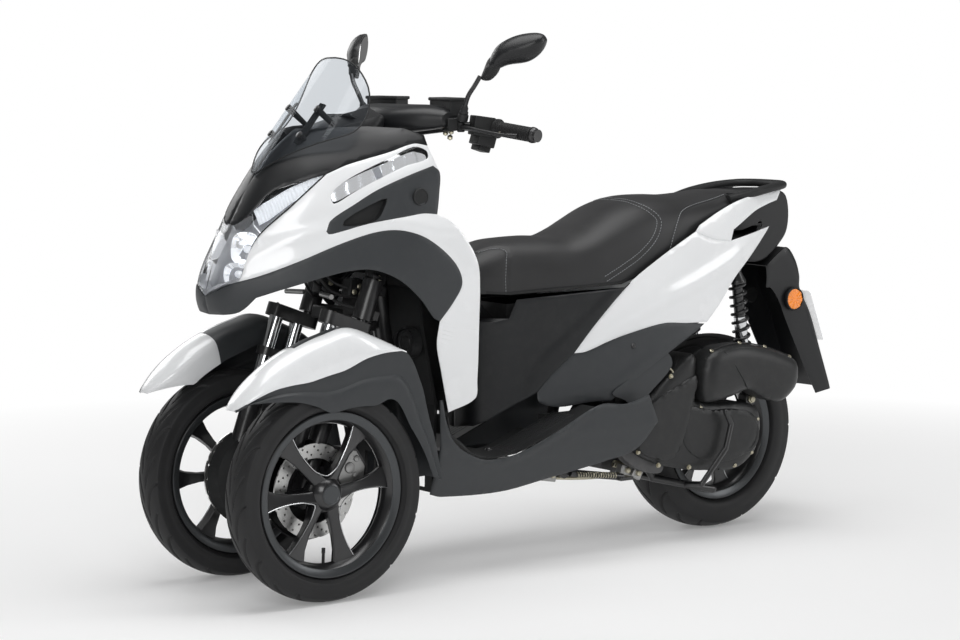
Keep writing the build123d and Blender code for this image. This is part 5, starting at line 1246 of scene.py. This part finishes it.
# seams: line, sides with stitches, groove's distance, depth and width, stitches' distance from the line
SEAMS = (([(139, 109, 670), (141, 112, 706), (136, 112, 752), (128, 104, 786), (140, 84, 800), (168, 66, 798),
           (200, 52, 786)], (1,), 0, 2.2, 3.0, 3.6),
         ([(-140, 146, 690), (-194, 152, 716), (-252, 155, 748), (-300, 157, 790), (-322, 150, 838),
           (-306, 128, 868), (-285, 90, 884), (-275, 45, 890), (-272, 0, 891)], (-1, 1), 4.5, 1.6, 2.6, 7.0),
         ([(-352, 150, 742), (-368, 146, 786), (-390, 138, 826), (-414, 124, 850), (-464, 110, 868),
           (-530, 98, 880), (-596, 84, 890)], (1,), 0, 2.2, 3.0, 3.6))
STITCH, STITCH_PITCH, CHUNK = 4.8, 7.4, 4000
drop = np.zeros(len(points))
stitches = []
for line, sides, offset, depth, width, stitch_out in SEAMS:
    for hand in (1, -1):
        found = [tree.find_nearest(Vector((x, hand * y, z))) for x, y, z in curve(line, 14)]
        track = np.array([tuple(hit[0]) for hit in found])
        normals = np.array([tuple(hit[1]) for hit in found])
        for start in range(0, len(points), CHUNK):
            part = slice(start, start + CHUNK)
            near = np.linalg.norm(skin_points[part, None] - track, axis=2).min(1)
            drop[part] = np.maximum(drop[part], depth * np.exp(-((near - offset) / width) ** 2))
        run = run_along(track)

        def along(at, values):
            """Values of the track at a distance along it."""
            return Vector([np.interp(at, run, values[:, i]) for i in range(3)])

        for side in sides:
            for s in np.arange(2, run[-1] - 6, STITCH_PITCH):
                rings = []
                for at in (s, s + STITCH):
                    normal = along(at, normals).normalized()
                    across = normal.cross((along(at + 1, track) - along(at - 1, track)).normalized())
                    middle = along(at, track) + across * side * stitch_out + normal * 0.25
                    rings.append([middle + across * dx + normal * dz
                                  for dx, dz in ((-0.8, -0.6), (-0.5, 0.55), (0.5, 0.55), (0.8, -0.6))])
                stitches.append(loft(rings))
skin_normals = np.array([tuple(tree.find_nearest(Vector(p))[1]) for p in points])
outward = np.sign(np.sum(skin_normals * (skin_points - (0, 0, 740)), 1).mean())
cushion = skin_points - skin_normals * outward * drop[:, None]
seat = make("seat_cushion", [tuple(p) for p in cushion], faces + [tuple(range(ring - 1, -1, -1))], vinyl,
            "seat_lid", ["seat"], sharp=60, weld=0.4)
make("seat_stitches", *gather(*stitches), thread, "seat_lid", sharp=60)

# ---------------------------------------------------------------- engine and rear drive
# Grey cast engine with a satin black belt-drive cover on the left: a raised teardrop panel, a round
# bearing cover, a cast rim at the crank, and a ribbed air box above it.
engine_grey = solid_finish("engine_casting", (0.09, 0.09, 0.092), 0.5, 1.4, 0.14, patch=0.3, dust=0.15,
                           Metallic=0.5)
case_black = solid_finish("drive_case_black", (0.016, 0.0165, 0.017), 0.42, 1.0, 0.06, patch=0.14, dust=0.03,
                          Specular_IOR_Level=0.4)
dress(engine_grey, "engine_block")
dress(case_black, "rear_arm")
case_line = curve([(-206, 285), (-229, 333), (-311, 415), (-414, 486), (-430, 474), (-430, 474), (-426, 362),
                   (-426, 362), (-500, 352), (-600, 346), (-640, 330), (-655, 290), (-650, 250), (-632, 212),
                   (-572, 176), (-470, 180), (-380, 192), (-280, 220), (-223, 253)], 5, closed=True)
CASE_EDGE, CASE_FACE, CRANK_FACE, AIR_BOX_EDGE = 150, 162.5, 138, 170   # distances from the middle plane
panel_line = curve([(-424, 430), (-360, 412), (-292, 384), (-244, 351), (-220, 316), (-213, 280), (-245, 244),
                    (-310, 222), (-351, 228), (-376, 268), (-400, 330)], 5, closed=True)
step_line = curve([(-392, 352), (-372, 290), (-392, 240), (-450, 208), (-540, 200), (-600, 216), (-636, 262),
                   (-624, 312), (-560, 334), (-470, 340)], 5, closed=True)
case = [pillow(case_line, 16, 26, upright(CASE_EDGE), 13, 70),
        pillow(panel_line, 10, 8, upright(CASE_FACE), 11, 8),
        pillow(step_line, 8, 10, upright(CASE_FACE), 12, 6)]
make("drive_case_moulding", *gather(*case), case_black, "body", ["drive_case"], sharp=40)
bearing = [(0, 50), (3, 50), (6, 47), (6.5, 40), (5, 38), (5, 24), (7, 22), (7, 0)]
make("bearing_cover", *spin(bearing, (-593, 163, 264), (0, 1, 0), 64), case_black, "body")
crank = curve([(-200, 326), (-186, 300), (-184, 262), (-206, 226), (-262, 196), (-326, 186), (-334, 214),
               (-262, 240), (-226, 272), (-222, 320)], 5, closed=True)
make("crank_rim", *pillow(crank, 4, 5, upright(CRANK_FACE), 10, 16), engine_grey, "body", sharp=40)
flange_bolt = [(0, 6.5), (2, 6.5), (2, 4.6), (6, 4.6), (7, 3.6), (7, 0)]
CASE_BOLTS = ((-216, 160, 322), (-262, 160, 378), (-340, 158, 434), (-232, 158, 250), (-300, 158, 210),
              (-560, 160, 186), (-640, 158, 300), (-440, 158, 346), (-620, 158, 214), (-400, 162, 196))
flange_bolts = [spin(flange_bolt, place, (0, 1, 0), 12) for place in CASE_BOLTS]
make("drive_case_bolts", *gather(*flange_bolts), zinc, "body")
air_line = curve([(-446, 468), (-479, 492), (-566, 503), (-655, 487), (-730, 462), (-763, 443), (-770, 405),
                  (-756, 372), (-711, 343), (-664, 350), (-610, 374), (-585, 382), (-533, 368), (-470, 360),
                  (-440, 366), (-434, 420)], 5, closed=True)
make("air_box_moulding", *pillow(air_line, 24, 40, upright(AIR_BOX_EDGE), 12, 45), case_black, "body",
     ["airbox"], sharp=50)
AIR_BOX_RIBS = ([(-500, 186, 488), (-520, 191, 466), (-542, 194, 436), (-566, 193, 404), (-580, 187, 388)],
                [(-448, 178, 462), (-490, 181, 484), (-566, 183, 494), (-650, 182, 479), (-740, 179, 448)],
                [(-447, 168, 470), (-482, 168, 494), (-566, 168, 505), (-655, 168, 489), (-752, 168, 456)])
for k, line in enumerate(AIR_BOX_RIBS):
    tube(f"air_box_rib_{k}", line, 1.8, case_black, "body", 8, smooth=8)
screws = [bolt((x, 168, z), (0, 0.6, 0.8), 6, 3, 12)
          for x, z in ((-470, 490), (-566, 504), (-655, 488), (-744, 456))]
make("air_box_bolts", *gather(*screws), zinc, "body")
tube("breather_hose", [(-400, 120, 470), (-372, 142, 452), (-352, 148, 420), (-368, 140, 396)], 9, rubber,
     "body", 12, smooth=8)
tube("throttle_cable", [(-300, 120, 480), (-330, 150, 462), (-352, 154, 440), (-340, 140, 400)], 3, zinc,
     "body", 8, smooth=8)

# ---------------------------------------------------------------- rear shocks
# Twin dampers in coil springs, black with bright shafts, from the arms to the frame.
def coil(name, start, end, radius, wire, turns, material, body, sides=8):
    """A wound spring from start to end."""
    start, end = Vector(start), Vector(end)
    across = (end - start).orthogonal().normalized()
    other = (end - start).normalized().cross(across)
    path = []
    for t in np.linspace(0, 1, int(turns * 18)):
        a = 2 * math.pi * turns * t
        path.append(start + (end - start) * t + (across * math.cos(a) + other * math.sin(a)) * radius)
    return tube(name, path, wire, material, body, sides, smooth=0)


COLLARS = ([(106, 12), (106, 24), (112, 24.5), (116, 24.5), (118, 12)],
           [(310, 12), (310, 24), (316, 24.5), (320, 22), (340, 14)])
for side, hand in SIDES:
    low, high = Vector((-662, hand * 97, 345)), Vector((-614, hand * 97, 712))
    way = (high - low).normalized()
    coil(f"{side}_shock_spring", low + way * 118, high - way * 58, 20, 4.2, 8.5, steel_black, "body")
    make(f"{side}_shock_shaft", *spin([(96, 15.5), (96, 16.5), (220, 16.5), (222, 12)], low, way, 24),
         hard_chrome, "body")
    collars = [spin(profile, low, way, 32) for profile in COLLARS]
    make(f"{side}_shock_collars", *gather(*collars), steel_black, "body")
    eye = spin([(0, 11), (4, 11), (5, 8), (9, 8), (9, 0)], low + Vector((0, hand * 15, 0)), (0, hand, 0), 6)
    make(f"{side}_shock_bolt", *eye, zinc, "body")

# ---------------------------------------------------------------- exhaust
# Satin black silencer low on the right, with a bolted heat shield and a bright end cap.
exhaust_steel = solid_finish("exhaust_enamel", (0.02, 0.02, 0.021), 0.46, 1.2, 0.06, patch=0.3, dust=0.12,
                             Metallic=0.3)
dress(exhaust_steel, "exhaust")
can_start, can_end = Vector((-470, -168, 290)), Vector((-800, -172, 396))
can = (can_end - can_start).normalized()
end_cap = [(-4, 52), (-4, 57.6), (2, 57), (9, 48), (12, 40), (6, 30), (6, 16), (20, 15.5), (20, 12), (-2, 12),
           (-4, 0)]
make("silencer_end_cap", *spin(end_cap, can_end, can, 64), cast_silver, "body", sharp=30)
SHIELD_UP, SHIELD_OUT, SHIELD_RADIUS = Vector((0.31, 0, 0.95)), Vector((0, -1, 0)), 63
shield = []
for t in np.linspace(0.08, 0.86, 16):
    middle = can_start + (can_end - can_start) * t
    spread = 1.15 - 0.5 * abs(t - 0.45)
    shield.append([middle + (SHIELD_OUT * math.cos(a) + SHIELD_UP * math.sin(a)) * SHIELD_RADIUS
                   for a in np.linspace(-spread, spread, 22)])
make("exhaust_heat_shield", *shell(shield, 1.6, can_start, roll=0.4), case_black, "body", sharp=40)
shield_bolt = [(-6, 5), (2, 5), (2, 7), (5, 7), (6, 5), (6, 0)]
feet = [can_start + (can_end - can_start) * t + SHIELD_OUT * SHIELD_RADIUS for t in (0.16, 0.78)]
make("heat_shield_bolts", *gather(*[spin(shield_bolt, foot, SHIELD_OUT, 12) for foot in feet]), zinc, "body")

# ---------------------------------------------------------------- rear mudguard, plate and reflectors
# Long black mudguard under the tail that carries a blank plate, round amber side reflectors in black
# cups, the tail's cover with a red lamp in its end, and the grab rail over a flat deck.
OUTER = [(-745, 690), (-790, 722), (-820, 735), (-850, 702), (-866, 660), (-868, 625), (-907, 556),
         (-950, 445), (-988, 346)]
INNER = [(-745, 632), (-762, 630), (-776, 616), (-795, 588), (-812, 552), (-835, 508), (-868, 448),
         (-900, 390), (-932, 336)]
outer, inner_edge = curve(OUTER, 6), curve(INNER, 6)
hugger = []
for (xa, za), (xb, zb) in zip(outer, inner_edge):
    half = [(0, xa - 1, za + 1), (68, xa, za), (80, xa + 3, za - 1), (81, 0.5 * (xa + xb), 0.5 * (za + zb)),
            (79, xb, zb)]
    hugger.append(curve([(x, y, z) for y, x, z in both_ways(half)], 4))
make("rear_mudguard_moulding", *shell(hugger, 2.6, (-760, 0, 520), roll=1.0), cowl_black, "body",
     ["rear_fender"], sharp=40)
# The plate is no lamp, yet it glows a little. This painted light makes the white plate brighter than the
# lamps alone make it.
plate_painted_glow = solid_finish("plate_painted_glow", (0.84, 0.85, 0.86), 0.32, 1.0, 0.01, patch=0.03, Coat_Weight=0.4,
                           Emission_Color=(1.0, 1.0, 1.0, 1.0), Emission_Strength=0.38)
dress(plate_painted_glow, "number_plate")
# The amber reflector lenses glow faintly. This is painted light, since a reflector is no lamp.
amber_painted_glow = solid_finish("amber_reflector_painted_glow", (0.86, 0.24, 0.012), 0.16, 1.2, 0.06, patch=0.25, Coat_Weight=1.0,
                      Emission_Color=(0.9, 0.25, 0.01, 1.0), Emission_Strength=0.12)
LENS_STEPS = 48
lens_parts, cups = [], []
for hand in (1, -1):
    foot = Vector((-838, hand * 82, 597))
    cups.append(spin([(-6, 20), (0, 30), (8, 31.5), (10.5, 30.5), (10.5, 27.5), (6, 27), (6, 0)], foot,
                     (0, hand, 0), 48))
    rings = []
    for r, rise in ((0.1, 9), (14, 9), (26.5, 8.5), (27.4, 6)):
        ring = []
        for k in range(LENS_STEPS):
            a = 2 * math.pi * k / LENS_STEPS
            ridge = (1.2 if k % 6 < 3 else -0.4) * (0 < r - 1 < 26)
            ring.append(foot + Vector((r * math.cos(a), hand * (rise + ridge), r * math.sin(a))))
        rings.append(ring)
    lens_parts.append(loft(rings))
make("reflector_cups", *gather(*cups), grained_black, "body", ["side_reflectors"], sharp=30)
make("reflector_lenses", *gather(*lens_parts), amber_painted_glow, "body", sharp=10)
tail_red = solid_finish("tail_lens_red", (0.5, 0.01, 0.012), 0.12, 2.0, 0.02, patch=0.1, Coat_Weight=1.0)
TAIL_SIDE = [(-640, 867), (-740, 883), (-800, 886), (-822, 872), (-832, 832), (-828, 786), (-812, 758),
             (-752, 708), (-700, 702), (-672, 728), (-724, 797), (-636, 786)]
TAIL_HALF = 71
tail = plate(curve(TAIL_SIDE, 3, closed=True), [], upright(-TAIL_HALF), 2 * TAIL_HALF, 16)
soften(make("tail_cover_moulding", *tail, cowl_black, "body", ["tail_cover"]), 6, 3)
lamp_face = [[(x, y, z) for y in (-58, -40, 0, 40, 58)]
             for x, z in ((-818, 880), (-832, 862), (-839, 832), (-836, 806), (-826, 800))]
make("tail_lamp_lens", *shell(lamp_face, 8, (-760, 0, 830), roll=1.0), tail_red, "body", ["tail_lamp"],
     sharp=40)


def sweep(path, section):
    """A section of (side, up) offsets carried along a path, its side level."""
    path = np.asarray(path, float)
    rings = []
    for i, p in enumerate(path):
        run = Vector(path[min(i + 1, len(path) - 1)] - path[max(i - 1, 0)]).normalized()
        side = run.cross(Vector((0, 0, 1))).normalized()
        up = side.cross(run)
        rings.append([Vector(p) + side * a + up * b for a, b in section])
    return loft(rings)


RAIL = ((0, -822, 902), (50, -814, 902), (84, -784, 901), (104, -720, 895), (110, -650, 884), (98, -586, 872))
rail = curve([(x, y, z) for y, x, z in both_ways(RAIL)], 8)
oval = [(16 * blunt(math.cos(a), 0.8), 10.5 * blunt(math.sin(a), 0.8))
        for a in np.linspace(0, 2 * math.pi, 20, endpoint=False)]
make("grab_rail_moulding", *sweep(rail, oval), grained_black, "body", ["grab_rail"], sharp=60)
DECK = [(-600, -86), (-650, -92), (-720, -88), (-790, -66), (-812, -34), (-812, 34), (-790, 66), (-720, 88),
        (-650, 92), (-600, 86)]
deck = plate(DECK, [], lambda a, b, d: (a, b, 888 - 0.02 * (a + 700) - d), 3, 20)
make("tail_deck", *deck, cowl_black, "body", sharp=40)

# ---------------------------------------------------------------- stands and fittings under the floor
# Return springs of the folded side and centre stands, cast brackets with their bolts, and a link rod.
coil("side_stand_spring", (-48, 138, 208), (-170, 146, 196), 6.5, 1.6, 16, zinc, "side_stand", 6)
# middle, size, turn and lean
BRACKETS = (((30, 112, 214), (70, 8, 34), 0, 10), ((-30, 108, 226), (46, 10, 40), 0, -8),
            ((60, 96, 206), (40, 30, 14), 12, 0), ((-236, 104, 196), (44, 22, 26), 0, 20),
            ((-262, 120, 190), (30, 12, 30), 0, 30))
brackets = [brick(*row) for row in BRACKETS]
soften(make("stand_brackets", *gather(*brackets), cast_silver, "body"), 2.5)
feet = ((42, 116, 216), (10, 116, 210), (-30, 113, 232), (-236, 115, 198), (-262, 126, 190))
make("stand_bolts", *gather(*[bolt(foot, (0, 1, 0), 8, 5) for foot in feet]), zinc, "body")
tube("stand_link_rod", [(20, 104, 204), (-60, 118, 196), (-150, 112, 190), (-232, 106, 190)], 5, zinc, "body",
     10, smooth=6)
coil("centre_stand_spring", (-296, 88, 190), (-214, 84, 214), 8, 2, 12, zinc, "body", 6)

# ---------------------------------------------------------------- studio
# White floor that fades into the backdrop, soft boxes round the machine, and a camera at its front
# left.
floor_paint, here = new_finish("studio_floor")
x, y, z = here.apart()
far = here.node("MapRange", {"Value": (x * x + y * y) ** 0.5, "From Min": 1.2, "From Max": 3.2})
matt = here.node("BsdfPrincipled",
                 {"Base Color": here.noise(900, 2.0).mix((0.9, 0.9, 0.9, 1), (0.92, 0.92, 0.92, 1)),
                  "Roughness": 0.9, "Specular IOR Level": 0.1})
sweep_white = here.node("Emission", {"Color": (1.0, 1.0, 1.0, 1.0), "Strength": 1.0})
shown = here.node("MixShader", {0: far * 0.8 + 0.2, 1: matt, 2: sweep_white})
here.node("OutputMaterial", {"Surface": shown})
floor = bpy.data.meshes.new("studio_floor")
FLOOR_HALF = 40
floor.from_pydata([(FLOOR_HALF * a, FLOOR_HALF * b, 0) for a, b in ((-1, -1), (1, -1), (1, 1), (-1, 1))], [],
                  [(0, 1, 2, 3)])
floor.materials.append(floor_paint)
placed("studio_floor", floor)

world = bpy.data.worlds.new("studio")
bpy.context.scene.world = world
world.use_nodes = True
world.node_tree.nodes.clear()
air = Shade(world.node_tree)
backdrop = air.node("Background", {"Color": (1.0, 1.0, 1.0, 1.0), "Strength": 1.0})
fill_light = air.node("Background", {"Color": (1.0, 1.0, 1.0, 1.0), "Strength": 0.16})
seen = air.node("LightPath", out="Is Camera Ray")
air.node("OutputWorld", {"Surface": air.node("MixShader", {0: seen, 1: fill_light, 2: backdrop})})


def aim_at(thing, place, aim):
    """Puts a lamp or the camera in its place, looking at its aim."""
    thing.location = place
    thing.rotation_euler = (Vector(aim) - Vector(place)).to_track_quat("-Z", "Y").to_euler()


SOFT_BOXES = {                 # place, aim, width, height, watts
    "overhead": ((0.2, 0.3, 3.4), (0.1, 0, 0.6), 3.2, 2.2, 82),
    "front_left": ((3.2, 3.6, 2.6), (0.3, 0, 0.7), 2.2, 2.2, 70),
    "rear_left": ((-3.4, 3.0, 2.2), (-0.3, 0, 0.6), 1.2, 2.4, 42),
    "behind": ((0.5, -3.4, 2.4), (0.1, 0, 0.7), 2.6, 1.6, 40),
}
for name, (place, aim, wide, high, watts) in SOFT_BOXES.items():
    lamp = bpy.data.lights.new(name, "AREA")
    lamp.shape, lamp.size, lamp.size_y, lamp.energy = "RECTANGLE", wide, high, watts
    aim_at(placed(name, lamp), place, aim)

CAMERA_PLACE, CAMERA_AIM = (4.0726, 5.1609, 1.2667), (0.1463, 0.0, 0.595)
camera = bpy.data.cameras.new("camera")
camera.lens, camera.sensor_width = 99.19, 36.0
camera = placed("camera", camera)
aim_at(camera, CAMERA_PLACE, CAMERA_AIM)
bpy.context.scene.camera = camera
bpy.context.scene.view_settings.view_transform = "Standard"
